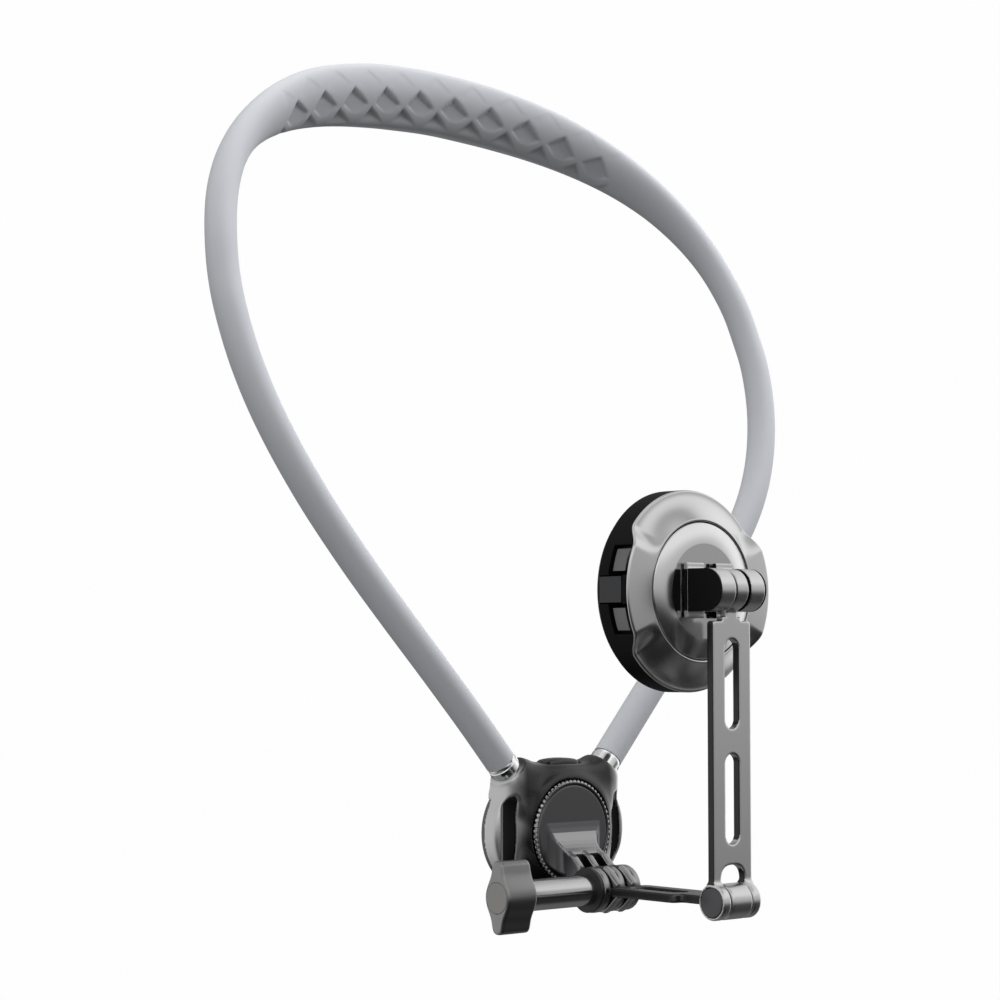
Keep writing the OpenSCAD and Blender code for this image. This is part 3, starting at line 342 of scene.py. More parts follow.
# The pad's inner face looks at the neck's upright axis.
level = np.stack([-centre_line[:, 0], neck_axis_y - centre_line[:, 1], 0 * run], axis=1)
level -= np.sum(level * along, axis=1, keepdims=True) * along
level /= np.linalg.norm(level, axis=1, keepdims=True)
wide = np.cross(level, along)
swell = np.clip(through_rows(swell_shares[1], swell_shares, np.abs(places)), 0, 1)

diamond_long, diamond_tall, diamond_deep, diamond_drop = 0.0169, 0.0140, 0.0013, 0.0030
diamond_reach, diamond_wall, top_row_wall, floor_middle, floor_most = 0.86, 0.24, 0.3, 0.52, 1.15
row_shares = ((-1, 0.85), (0, 1.0), (1, 0.13))


def smooth_step(x):
    """0 below 0, 1 above 1, and 3x^2 - 2x^3 between."""
    x = np.clip(x, 0, 1)
    return x * x * (3 - 2 * x)


def diamond_depth(s, w):
    """Share of the full depth in three rows of diamonds, every second one moved half a diamond. With
    d = |s| / (long / 2) + |w| / (tall / 2) from a centre it is 0 beyond the reach and rises to the
    row's share over a short wall. Each floor lies deeper towards its top and runs out below."""
    depth = np.zeros(np.broadcast(s, w).shape)
    for row, share in row_shares:
        shift = 0.5 * diamond_long * ((row + 1) % 2)
        ds = (s - shift + diamond_long / 2) % diamond_long - diamond_long / 2
        dw = (w + diamond_drop) / (diamond_tall / 2) - row
        d = np.abs(ds) / (diamond_long / 2) + np.abs(dw)
        slope = np.clip(floor_middle + dw, 0, floor_most)
        wall = top_row_wall if row == 1 else diamond_wall
        depth = np.maximum(depth, share * slope * smooth_step((diamond_reach - d) / wall))
    return depth


around = 144
turn = np.arange(around) * 2 * np.pi / around
half_tall = (tube_r + swell * (pad_half_tall - tube_r))[:, None]
half_thick = (tube_r + swell * (pad_half_thick - tube_r))[:, None]
# In the pad the section is fuller than an ellipse, so that its inner face is nearly flat.
fullness = (1 - pad_fullness * swell)[:, None]
cosine, sine = np.cos(turn)[None, :], np.sin(turn)[None, :]
to_neck = half_thick * np.sign(cosine) * np.abs(cosine) ** fullness
across = half_tall * np.sign(sine) * np.abs(sine) ** fullness
upwards = np.sign(wide[:, 2])[:, None] * across
# The net of diamonds fades out round the edge of the pad's inner face. Painted shade makes the face a little
# darker downwards, and in the diamonds.
net_half_long, net_half_tall, fade_long, fade_tall = 5.05 * diamond_long, 0.0112, 0.003, 0.0045
net_turn, pad_shade, shade_turn, shade_high, diamond_shade = 1.5, 0.46, 2.2, 0.62, 0.24
in_net = smooth_step((net_half_long - np.abs(run[:, None])) / fade_long)
sunk = diamond_depth(run[:, None], upwards) * smooth_step(cosine * net_turn)
sunk = sunk * smooth_step((net_half_tall - np.abs(across)) / fade_tall)
shade = pad_shade * swell[:, None] * smooth_step(cosine * shade_turn)
shade = shade * smooth_step(shade_high - upwards / half_tall)
shade = np.clip(shade + diamond_shade * sunk * in_net, 0, 1)
sunk = sunk * diamond_deep * in_net
points = (
    centre_line[:, None, :]
    + level[:, None, :] * (to_neck - sunk)[:, :, None]
    + wide[:, None, :] * across[:, :, None]
)
# Each end is closed by a flat disc round the centre line.
ends = [centre_line[k] + 0 * points[k] for k in (0, -1)]
points = np.concatenate([ends[0][None], points, ends[1][None]])
shade = np.concatenate([shade[:1], shade, shade[-1:]]).reshape(-1)
piece_of(
    "neck_band", points.reshape(-1, 3), tube_faces(len(points), around)[:, ::-1], silicone, "frame",
    "band_sleeve", slot="silicone_grey", shade=shade,
)

# Ferrules. Bright plated rings between the ends of the band and the hub, with a step half way down and a
# short notch at the front, drawn only as painted shade on the ring. Sizes are in millimetres from here on,
# but for edges and grain.
millimetre = 0.001
socket_lean = radians(42.5)
chrome = finish_of("bright_chrome", (0.85, 0.85, 0.86), metal=1.0, rough=0.16, grain=0.0, grain_scale=900)
notch_painted_shade = finish_of("notch_painted_shade", (0.02, 0.02, 0.02), metal=0.5, rough=0.5, grain=0.0, grain_scale=900)
ring_steps, ring_bore, ring_neck_r, ring_step_r = 180, 3.0, 5.05, 5.32
ring_top, ring_end, ring_chamfer, step_down, notch_high, notch_low = -0.1, 5.6, 0.15, 1.4, 1.2, 2.7
notch_facing, notch_share = (0.52, -0.707, -0.478), 0.975
ring_rows = [
    (ring_bore, ring_top), (ring_neck_r - ring_chamfer, ring_top), (ring_neck_r, ring_top + ring_chamfer),
    (ring_neck_r, notch_high), (ring_step_r, step_down), (ring_step_r, notch_low),
    (ring_step_r, ring_end), (ring_bore, ring_end),
]
ring_r, ring_down = np.array(ring_rows).T * millimetre
ring_turn = np.arange(ring_steps) * 2 * np.pi / ring_steps
points, faces = [], []
for side in (-1, 1):
    end = centre_line[0 if side < 0 else -1]
    down = np.array([-side * sin(socket_lean), 0, -cos(socket_lean)])
    ahead = np.array([0, -1.0, 0])
    aside = np.cross(down, ahead)
    round_ring = np.cos(ring_turn)[:, None] * ahead + np.sin(ring_turn)[:, None] * aside
    ring = end + down * ring_down[None, :, None] + round_ring[:, None, :] * ring_r[None, :, None]
    first = ring_steps * len(ring_r) * len(points)
    faces.append(tube_faces(ring_steps, len(ring_r), first=first, closed=True))
    points.append(ring.reshape(-1, 3))
ferrules = piece_of(
    "ferrules", np.concatenate(points), np.concatenate(faces)[:, ::-1], chrome, "frame", "ferrule_left",
    "ferrule_right", slot="bright_chrome",
)


def in_notch(x, y, z, nx, ny, nz):
    """True in the notch of each ring, which is painted shade: between two depths below the band's end, and
    round one direction.
    """
    across, _, high = np.abs(centre_line[0])
    down = (across - np.abs(x)) * sin(socket_lean) - (high + z) * cos(socket_lean)
    facing = notch_facing[0] * np.abs(nx) + notch_facing[1] * ny + notch_facing[2] * nz
    return (down > notch_high * millimetre) & (down < notch_low * millimetre) & (facing > notch_share)


# The notch is painted shade: a dark finish on the ring's faces, with no cut in the ring.
second_finish(ferrules, notch_painted_shade, in_notch)


# Chest hub shell. One die-cast body with a glossy dark finish: two rounded ends with a strap slot
# each, a dome round the turntable, and shoulders that rise in a soft curve to the two ferrules.
def skin_of(field, low, high, step):
    """Skin of the places where field(x, y, z) = 0, in millimetres, with the field below 0 inside.
    The box is cut into cubes. Each cube that the skin passes gets the mean of the crossings on its
    edges as its point, moved along the field's slope onto the skin, and each crossed edge gives one
    face between its four cubes."""
    axes = [np.arange(a, b + step, step) for a, b in zip(low, high)]
    lattice = np.meshgrid(*axes, indexing="ij")
    value = field(*lattice)
    count = np.array(value.shape) - 1
    total, hits, crossed = np.zeros((*count, 3)), np.zeros(count), []
    for axis in range(3):
        a, b = np.take(value, range(count[axis]), axis), np.take(value, range(1, count[axis] + 1), axis)
        cross = (a < 0) != (b < 0)
        share = np.where(cross, a / np.where(cross, a - b, 1), 0)
        spot = [np.take(part, range(count[axis]), axis) * cross for part in lattice]
        spot[axis] = spot[axis] + share * step
        u, v = (axis + 1) % 3, (axis + 2) % 3
        for du in (0, 1):
            for dv in (0, 1):
                window = [slice(None)] * 3
                window[u], window[v] = slice(du, du + count[u]), slice(dv, dv + count[v])
                window = tuple(window)
                hits += cross[window]
                for k in range(3):
                    total[..., k] += spot[k][window]
        crossed.append((cross, a < 0))
    used = hits > 0
    number = np.full(count, -1)
    number[used] = np.arange(used.sum())
    points = total[used] / hits[used][:, None]
    reach = step / 8
    for _ in range(3):
        slope = np.stack(
            [
                field(*(points + reach * e).T) - field(*(points - reach * e).T)
                for e in np.eye(3)
            ],
            axis=1,
        ) / (2 * reach)
        length = np.maximum(np.sum(slope**2, axis=1), 0.2)
        move = np.clip(field(*points.T) / length, -step / 2, step / 2)
        points -= slope * move[:, None]
    faces = []
    for axis, (cross, rising) in enumerate(crossed):
        u, v = (axis + 1) % 3, (axis + 2) % 3
        at = np.argwhere(cross)
        at = at[(at[:, u] > 0) & (at[:, v] > 0) & (at[:, u] < count[u]) & (at[:, v] < count[v])]
        quad = []
        for du, dv in ((1, 1), (0, 1), (0, 0), (1, 0)):
            cube = at.copy()
            cube[:, u] -= du
            cube[:, v] -= dv
            quad.append(number[tuple(cube.T)])
        quad = np.stack(quad, axis=1)
        flip = ~rising[tuple(at.T)]
        quad[flip] = quad[flip][:, ::-1]
        faces.append(quad)
    return points, np.concatenate(faces)


def joined(a, b, soft):
    """Union of two fields with a hollow fillet: the lesser, less h^2 soft / 4 with h = 1 - |a - b| / soft."""
    h = np.maximum(1 - np.abs(a - b) / soft, 0)
    return np.minimum(a, b) - h * h * soft / 4


def shared(a, b, soft):
    """Common part of two fields, with its edge rounded over soft."""
    return -joined(-a, -b, soft)


def slab(p, low, high):
    """Field of a flat layer between two places on one axis."""
    return np.abs(p - (low + high) / 2) - (high - low) / 2


def pill(u, v, half, radius):
    """Field of a round-ended bar along u, whose round ends have their centres at half on each side."""
    return np.hypot(np.maximum(np.abs(u) - half, 0), v) - radius


# From the turntable's centre, x runs across, y back to the chest and z up.
hub_at = np.array([0.0, -71.1025, -261.3])
ear_r, ear_x, hub_deep, cover_y, rim_y = 19.7, 9.9, 12.3, 11.0, 4.3
socket_half, socket_rise, socket_y, socket_long = 24.84, 23.85, 8.3, 22.0
mouth_r, ferrule_long = 5.7, 4.3
slot_x, slot_half_x, slot_half_z, slot_end_r, slot_rim = 24.6, 0.4, 10.4, 2.2, 1.0
dome_front_r, dome_slope, dome_limit, dome_foot = 18.5, 0.8, 22.5, 20.0
saddle_r, saddle_z, web_front, web_back, web_half = 37.4, 58.6, 3.2, 12.0, 23.0
web_slope, web_foot, web_short, seat_r, seat_deep = 2.1, 1.0, 1.5, 17.6, 2.5
button_y, pocket_half, pocket_r, pocket_floor = 7.0, 5.8, 3.55, 16.8
stem_room_half, stem_room_deep, stem_room_low, cover_fit, overrun = 2.5, 1.9, 8.5, 0.12, 3.0
# Nearly 1 over the length of (1, slope), so that the fields of slanted faces measure true distance.
dome_true, web_true = 0.78, 0.43


def strap_slot(x, z):
    """Upright slot with round ends in each end of the hub, inside a thin rim."""
    ax = np.abs(x)
    slot = np.hypot(np.maximum(np.abs(ax - slot_x) - slot_half_x, 0), np.maximum(np.abs(z) - slot_half_z, 0))
    return shared(slot - slot_end_r, np.hypot(ax - ear_x, z) - ear_r + slot_rim, soft=1.5)


def hub_field(x, y, z):
    """Rounded stadium for the ends, a slanted drum for the dome, two thick tubes for the sockets and
    a web between them, all joined with fillets, less the seat, the slots and the button's pocket."""
    ax = np.abs(x)
    stadium = pill(x, z, ear_x, ear_r)
    ends = shared(stadium, slab(y, rim_y, cover_y + overrun), soft=3.0)
    from_axis = np.hypot(x, z)
    dome = shared((from_axis - dome_front_r - dome_slope * y) * dome_true, -y, soft=1.6)
    within = np.maximum(from_axis - dome_limit, np.maximum(y - hub_deep, -z - dome_foot))
    dome = shared(dome, within, soft=3.0)
    body = joined(ends, dome, soft=5.5)
    lean_x, lean_z = sin(socket_lean), cos(socket_lean)
    down = (socket_half - ax) * lean_x + (socket_rise - z) * lean_z - ferrule_long
    aside = np.hypot((ax - socket_half) * lean_z - (z - socket_rise) * lean_x, y - socket_y)
    socket = shared(aside - mouth_r, -down, soft=1.0)
    socket = shared(socket, down - socket_long, soft=6.0)
    saddle = saddle_r - np.hypot(x, z - saddle_z)
    web = shared(shared(saddle, slab(y, web_front, web_back), soft=5.0), ax - web_half, soft=2.0)
    web = shared(web, web_short - down, soft=2.0)
    web = shared(web, (ax - web_slope * z - web_foot) * web_true, soft=3.0)
    upper = shared(joined(socket, web, soft=5.0), -down, soft=0.8)
    body = joined(body, upper, soft=5.0)
    # The flat back of the ends, on the cover.
    body = np.maximum(body, -np.maximum(stadium - cover_fit, cover_y - y))
    body = shared(body, -strap_slot(x, z), soft=1.2)
    seat = np.maximum(from_axis - seat_r, y - seat_deep)
    body = shared(body, -seat, soft=0.5)
    pocket = np.maximum(pill(x, y - button_y, pocket_half, pocket_r), pocket_floor - z)
    stem_room = np.maximum(ax - stem_room_half, np.abs(y - button_y) - stem_room_deep)
    return np.maximum(body, -np.minimum(pocket, np.maximum(stem_room, stem_room_low - z)))


def toward_ends(finish, low, high, colour, rough):
    """Blend a finish into another colour and roughness between two distances, in metres, from the
    middle plane."""
    nodes, links = finish.node_tree.nodes, finish.node_tree.links
    shader = nodes["Principled BSDF"]
    where, split = nodes.new("ShaderNodeTexCoord"), nodes.new("ShaderNodeSeparateXYZ")
    size, share = nodes.new("ShaderNodeMath"), nodes.new("ShaderNodeMapRange")
    size.operation = "ABSOLUTE"
    share.interpolation_type = "SMOOTHSTEP"
    share.inputs["From Min"].default_value, share.inputs["From Max"].default_value = low, high
    links.new(where.outputs["Object"], split.inputs[0])
    links.new(split.outputs["X"], size.inputs[0])
    links.new(size.outputs[0], share.inputs["Value"])
    tint, dull = nodes.new("ShaderNodeMix"), nodes.new("ShaderNodeMix")
    tint.data_type = "RGBA"
    tint.inputs["A"].default_value = shader.inputs["Base Color"].default_value
    tint.inputs["B"].default_value = (*colour, 1)
    dull.inputs["B"].default_value = rough
    links.new(shader.inputs["Roughness"].links[0].from_socket, dull.inputs["A"])
    for mix in (tint, dull):
        links.new(share.outputs["Result"], mix.inputs["Factor"])
    links.new(tint.outputs["Result"], shader.inputs["Base Color"])
    links.new(dull.outputs["Result"], shader.inputs["Roughness"])


gunmetal = finish_of(
    "gunmetal_gloss", (0.04, 0.04, 0.0415), metal=0.95, rough=0.27, grain_scale=1500, coat=0.2
)
toward_ends(gunmetal, low=0.0185, high=0.0245, colour=(0.55, 0.55, 0.555), rough=0.36)
# Near-black finish for painted shade in slots and gaps.
painted_shade_black = finish_of(
    "painted_shade_black", (0.004, 0.004, 0.004), metal=0.0, rough=0.5, grain_scale=1800, specular=0.1
)
points, faces = skin_of(hub_field, low=(-33, -1, -22), high=(33, 16, 32), step=0.37)
hub_shell = piece_of(
    "hub_shell", (points + hub_at) * millimetre, faces, gunmetal, "frame", "hub_front_shell",
    slot="gunmetal_gloss",
)


def in_strap_slot(x, y, z, nx, ny, nz):
    """True on the walls of the two strap slots, and within 0.06 mm of them, which get painted shade."""
    return strap_slot(x / millimetre, z / millimetre - hub_at[2]) < 0.06


# The walls of the strap slots get painted shade.
second_finish(hub_shell, painted_shade_black, in_strap_slot)

# Release button. A glossy black plastic pill with a crowned top, sunk in the saddle between the
# ferrules. Its stem goes down into the hub, onto the springs.
gloss_black = finish_of(
    "gloss_black", (0.006, 0.006, 0.007), metal=0.0, rough=0.2, grain=0.0, grain_scale=900
)
button_top, button_low, button_half, button_r, button_crown = 24.55, 20.0, 5.82, 3.25, 0.012
stem_half, stem_deep, stem_low, stem_top = 2.2, 1.6, 13.0, 20.4


def button_field(x, y, z):
    """A pill in plan, rounded at the top, on a narrower stem."""
    top = z - button_top + button_crown * x * x
    head = shared(pill(x, y - button_y, button_half, button_r), top, soft=2.2)
    head = shared(head, button_low - z, soft=0.6)
    stem = np.maximum(np.abs(x) - stem_half, np.abs(y - button_y) - stem_deep)
    return np.minimum(head, np.maximum(stem, slab(z, stem_low, stem_top)))


points, faces = skin_of(button_field, low=(-10, 3, 12), high=(10, 11, 26), step=0.28)
piece_of(
    "release_pill", (points + hub_at) * millimetre, faces, gloss_black, "button", "release_button",
    slot="gloss_black",
)

# Turntable. A satin dark disc in the seat of the hub, with its root and three flat round prongs cast on
# it. The clamping screw passes through the prongs, and its hex nut sits in the outer one.
dark_satin = finish_of("dark_satin", (0.13, 0.13, 0.135), metal=0.95, rough=0.30, grain_scale=2200)
disc_r, disc_front, disc_back = 15.57, -0.865, 2.16
prong_y, prong_z, prong_r, prong_pitch, prong_thick, prong_bore = -17.5, -17.9, 7.5, 3.4, 3.1, 2.55
root_half, flare_r, root_end_y, root_inside, nut_half, nut_seat = 8.35, 4.6, -6.0, 2.0, 4.01, 2.2
# Outlines across the turntable, as (y, z): the back wall of the gaps, which leans away from the disc,
# the root's upper side, a curve with one control point, and its lower side.
gap_wall = [(-7.2, 2.0), (-40.0, 2.0), (-40.0, -60.0), (-9.0, -60.0)]
gap_wall += [(-9.0, prong_z), (-7.8, -11.0), (-7.0, -6.2)]
hollow_start, hollow_control, hollow_end = (-0.9, 3.0), (-1.4, -4.6), (-9.2, -7.6)
root_below = [(-13.5, -12.0), (-13.5, -22.5), (-9.0, -21.5), (-0.9, -13.6), (2.0, -13.6)]


def outline_field(u, v, corners):
    """Distance to a closed outline of straight sides, below 0 inside: the nearest point of each side in
    turn, and a count of the sides that a level line crosses."""
    best = np.full(np.shape(u), 1e9)
    inside = np.zeros(np.shape(u), bool)
    for (u0, v0), (u1, v1) in zip(corners, corners[1:] + corners[:1]):
        du, dv = u1 - u0, v1 - v0
        t = np.clip(((u - u0) * du + (v - v0) * dv) / (du * du + dv * dv), 0, 1)
        best = np.minimum(best, (u - u0 - t * du) ** 2 + (v - v0 - t * dv) ** 2)
        if dv != 0:
            inside ^= ((v0 > v) != (v1 > v)) & (u < u0 + (v - v0) * du / dv)
    return np.where(inside, -1, 1) * np.sqrt(best)


def prong_gaps(x, y, z):
    """The two gaps between the prongs, in front of their back wall."""
    gaps = np.abs(np.abs(x) - prong_pitch) - (2 * prong_pitch - prong_thick) / 2
    return np.maximum(gaps, outline_field(y, z, gap_wall))


def turntable_field(x, y, z):
    """Disc, root block that flares out to the disc in a hollow curve, and prongs parted by two slots."""
    from_axis = np.hypot(x, z)
    disc = shared(from_axis - disc_r, slab(y, disc_front, disc_back), soft=0.4)
    t = np.linspace(0, 1, 10)[:, None]
    hollow = (1 - t) ** 2 * hollow_start + 2 * t * (1 - t) * hollow_control + t**2 * hollow_end
    side = outline_field(y, z, [(root_inside, hollow_start[1])] + [tuple(p) for p in hollow] + root_below)
    prongs = np.hypot(y - prong_y, z - prong_z) - prong_r
    side = joined(side, prongs, soft=2.5)
    ahead = np.clip(disc_front - y, 0, flare_r)
    flare = flare_r - np.sqrt(np.maximum(flare_r**2 - (flare_r - ahead) ** 2, 0))
    root = shared(side, np.abs(x) - root_half - flare, soft=0.7)
    root = np.maximum(root, np.where(y > root_end_y, from_axis - disc_r, -1.0))
    root = shared(root, -prong_gaps(x, y, z), soft=1.0)
    bore = np.hypot(y - prong_y, z - prong_z) - prong_bore
    py, pz = np.abs(y - prong_y), np.abs(z - prong_z)
    hexagon = np.maximum(py * sin(radians(60)) + pz * 0.5, pz) - nut_half
    nut_room = np.maximum(hexagon, root_half - nut_seat - x)
    return np.maximum(np.minimum(disc, root), -np.minimum(bore, nut_room))


points, faces = skin_of(turntable_field, low=(-16.2, -26, -26.4), high=(16.2, 3, 16.2), step=0.31)
turntable = piece_of(
    "turntable_casting", (points + hub_at) * millimetre, faces, dark_satin, "turntable_body", "turntable",
    slot="dark_satin",
)
# A lighter copy of the satin, for painted highlights.
painted_highlight_satin = finish_of("painted_highlight_satin", (0.30, 0.30, 0.305), metal=1.0, rough=0.26)
prong_at = (hub_at + np.array([0.0, prong_y, prong_z])) * millimetre
ledge_low, ledge_high, ledge_half, rim_deep, rim_back = 7.0, 18.5, 10.5, 0.4, 5.5


def on_prong_rims(x, y, z, nx, ny, nz):
    """True on the round rims of the prongs and on the front of the root, which get a painted highlight, not
    on the prongs' flat sides.
    """
    from_screw = np.hypot(y - prong_at[1], z - prong_at[2])
    return (from_screw > (prong_r - rim_deep) * millimetre) & (y <= prong_at[1] + rim_back * millimetre)


def on_ledge(x, y, z, nx, ny, nz):
    """True on the upper side of the root, where it faces upwards and gets a painted highlight."""
    over_screw = (z - prong_at[2]) / millimetre
    on_root = (over_screw > ledge_low) & (over_screw < ledge_high) & (np.abs(x) < ledge_half * millimetre)
    return on_root & (nz > 0.3)


def in_prong_gaps(x, y, z, nx, ny, nz):
    """True on the walls of the gaps between the prongs, and within 0.12 mm of them, which get painted shade.
    """
    return prong_gaps(x / millimetre, y / millimetre - hub_at[1], z / millimetre - hub_at[2]) < 0.12


# The prong rims and the ledge get a painted highlight.
second_finish(turntable, painted_highlight_satin, on_prong_rims)
second_finish(turntable, painted_highlight_satin, on_ledge)
# The walls of the prong gaps get painted shade.
second_finish(turntable, painted_shade_black, in_prong_gaps)

# Serrated ring round the turntable's disc. Bright steel, with fine teeth cut all round its front
# edge, pressed onto the disc, with which it turns.
teeth, tooth_steps, tooth_bite, tooth_rise = 60, 12, 0.42, 0.5
toothed_r, inner_dark_r, tooth_steep, tooth_shift = 17.3, 16.5, 1.6, 0.1
satin_bright = finish_of("satin_bright", (0.40, 0.40, 0.40), metal=1.0, rough=0.26)
angle = np.arange(teeth * tooth_steps) * 2 * np.pi / (teeth * tooth_steps)
notch = smooth_step(tooth_steep * np.cos(angle * teeth) - tooth_shift)[:, None]
# The section's points, as radius, place along y, and the share of the teeth's bite there.
ring_section = [
    (15.62, disc_back, 0), (15.62, -0.8, 0), (15.85, -1.05, 0), (16.4, -1.05, 0), (16.55, -1.0, 0.35),
    (17.1, -0.7, 1), (toothed_r, -0.2, 1), (toothed_r, disc_back, 1),
]
section_r, section_y, bite = np.array(ring_section).T[:, None, :]
notched_r = section_r - tooth_bite * notch * bite
notched_y = section_y + tooth_rise * notch * bite * (section_y < 1)
points = np.stack(
    [notched_r * np.cos(angle)[:, None], notched_y, notched_r * np.sin(angle)[:, None]], axis=-1
)
serrated_edge = piece_of(
    "serrated_edge", (points.reshape(-1, 3) + hub_at) * millimetre,
    tube_faces(len(angle), len(ring_section), closed=True), satin_bright, "turntable_body", "serrated_ring",
    slot="satin_alloy",
)


def inside_teeth(x, y, z, nx, ny, nz):
    """True on the ring's inner part, which stays dark."""
    return np.hypot(x - hub_at[0] * millimetre, z - hub_at[2] * millimetre) < inner_dark_r * millimetre


second_finish(serrated_edge, dark_satin, inside_teeth)

# Thumb knob. A turned barrel and a cast satin head with two tapering wings and rounded edges, closed
# by a warm grey plug. It turns on the clamping screw.
satin = finish_of("satin_alloy", (0.60, 0.60, 0.605), metal=1.0, rough=0.30, edge=0.0004)
knob_satin = finish_of("knob_satin", (0.26, 0.26, 0.262), metal=1.0, rough=0.34)
polished = finish_of("polished_alloy", (0.50, 0.50, 0.505), metal=1.0, rough=0.17, edge=0.0003)
knob_at = hub_at + np.array([0.0, prong_y, prong_z])
knob_base, knob_long, knob_span, knob_tip, knob_taper, knob_hub = -36.53, 12.6, 23.4, 2.1, 0.24, 5.4
plug_seat_r, plug_deep, knob_bore, wing_soft, wing_true = 5.0, 2.1, 2.5, 6.0, 0.96


def knob_field(x, y, z):
    """A round hub and a flat bar that tapers towards the tips of the wings, with rounded edges all
    round, less the seat of the plug and the bore."""
    from_axis = np.hypot(y, z)
    from_tip = knob_span / 2 - np.sqrt(z * z + wing_soft)
    bar = (np.abs(y) - knob_tip - knob_taper * from_tip) * wing_true
    bar = shared(bar, np.abs(z) - knob_span / 2, soft=1.8)
    outline = joined(from_axis - knob_hub, bar, soft=3.2)
    head = shared(outline, slab(x, knob_base - knob_long, knob_base), soft=1.1)
    plug_seat = np.maximum(from_axis - plug_seat_r, x - knob_base + knob_long - plug_deep)
    bore = np.maximum(from_axis - knob_bore, knob_base - knob_long / 2 - x)
    return np.maximum(head, -np.minimum(plug_seat, bore))


knob_low, knob_high = (knob_base - knob_long - 1, -7, -13), (knob_base + 1, 7, 13)
points, faces = skin_of(knob_field, low=knob_low, high=knob_high, step=0.27)
piece_of(
    "knob_wings", (points + knob_at) * millimetre, faces, knob_satin, "knob", "knob_head",
    slot="satin_alloy",
)

# Lower link. A die-cast flat bar with two round fins that sit between the prongs, a long slot, a narrower
# neck and the barrel of the lower hinge. The bar is darker than its barrel and carries painted shade, and its
# fins' rims carry a painted highlight.
link_len, bar_wide, bar_thick, hinge_r, hinge_bore, barrel_air = 55.4, 17.2, 2.8, 5.65, 2.05, 0.25
link_back, link_front, neck_half, neck_lap = -9.2, -39.0, 4.82, 3.0
link_slot_low, link_slot_high, link_slot_wide = -35.6, -12.6, 6.2
foot_slope, foot_half, foot_low, foot_high = 0.66, 8.6, -12.0, -3.5


def bar_slot(u, v, low, high, wide):
    """Field of a round-ended slot of the given width along v, between low and high."""
    return pill(v - (low + high) / 2, u, (high - low - wide) / 2, wide / 2)


def link_field(x, y, z):
    """Bar, neck, two fins with a tapering foot, and the barrel across the far end."""
    ax = np.abs(x)
    plan = shared(ax - bar_wide / 2, slab(y, link_front, link_back), soft=2.4)
    plan = joined(plan, np.maximum(ax - neck_half, slab(y, -link_len, link_front + neck_lap)), soft=2.0)
    plan = shared(plan, -bar_slot(x, y, link_slot_low, link_slot_high, link_slot_wide), soft=0.2)
    bar = shared(plan, slab(z, -bar_thick / 2, bar_thick / 2), soft=0.5)
    fin_gap = np.abs(ax - prong_pitch) - prong_thick / 2
    foot = np.maximum(np.abs(z) - foot_slope * y - foot_half, slab(y, foot_low, foot_high))
    fins = shared(joined(np.hypot(y, z) - prong_r, foot, soft=3.0), fin_gap, soft=1.0)
    barrel = shared(np.hypot(y + link_len, z) - hinge_r, ax - neck_half + barrel_air, soft=0.7)
    whole = joined(joined(bar, fins, soft=0.8), barrel, soft=1.2)
    bores = np.minimum(np.hypot(y, z) - prong_bore, np.hypot(y + link_len, z) - hinge_bore)
    return np.maximum(whole, -bores)


points, faces = skin_of(link_field, low=(-9.3, -62, -8.6), high=(9.3, 8.6, 8.6), step=0.31)
link_bar = piece_of(
    "link_bar", (points + knob_at) * millimetre, faces, dark_satin, "link", "lower_link", slot="satin_alloy"
)
# A darker copy of the satin, for painted shade.
painted_shade_dark = finish_of("painted_shade_dark", (0.045, 0.045, 0.047), metal=1.0, rough=0.36)
bar_start, bar_end, fin_rim_r = 9.5, link_len - 6.6, 7.1
bar_start_y, bar_end_y = ((knob_at[1] - ahead) * millimetre for ahead in (bar_start, bar_end))


def on_bar(x, y, z, nx, ny, nz):
    """True on the narrow sides and on the broad faces of the bar, beyond the fins, which get painted shade.
    """
    return (np.abs(nx) + np.abs(nz) > 0.9) & (y < bar_start_y)


def on_barrel(x, y, z, nx, ny, nz):
    """True on the barrel at the far end, whatever faces there."""
    return y < bar_end_y


def on_fin_rims(x, y, z, nx, ny, nz):
    """True on the round rims of the fins, which get a painted highlight, not on their flat sides."""
    from_screw = np.hypot(y - prong_at[1], z - prong_at[2])
    return (from_screw > fin_rim_r * millimetre) & (y > bar_start_y)


# The bar gets painted shade.
second_finish(link_bar, painted_shade_dark, on_bar)
second_finish(link_bar, satin, on_barrel)
# The fins' rims get the painted highlight.
second_finish(link_bar, painted_highlight_satin, on_fin_rims)

# Arm. A stamped flat bar with two long slots, an arch over the link's barrel, two cheeks of the lower
# hinge at its foot and the knuckle of the upper hinge at its top.
arm_at = knob_at + np.array([0.0, -link_len, 0.0])
arm_len, arm_top, slot_low, slot_long, slot_pitch, slot_wide = 97.8, 88.0, 17.8, 28.36, 36.19, 6.3
arch_top, arch_half, knuckle_half, knuckle_r, cap_r, cap_seat = 11.44, 5.4, 2.5, 6.6, 4.86, 0.96
throat_low, throat_lap, throat_share, cheek_air, hinge_air, pin_r = 80.0, 1.3, 1.6, 0.2, 0.6, 2.0


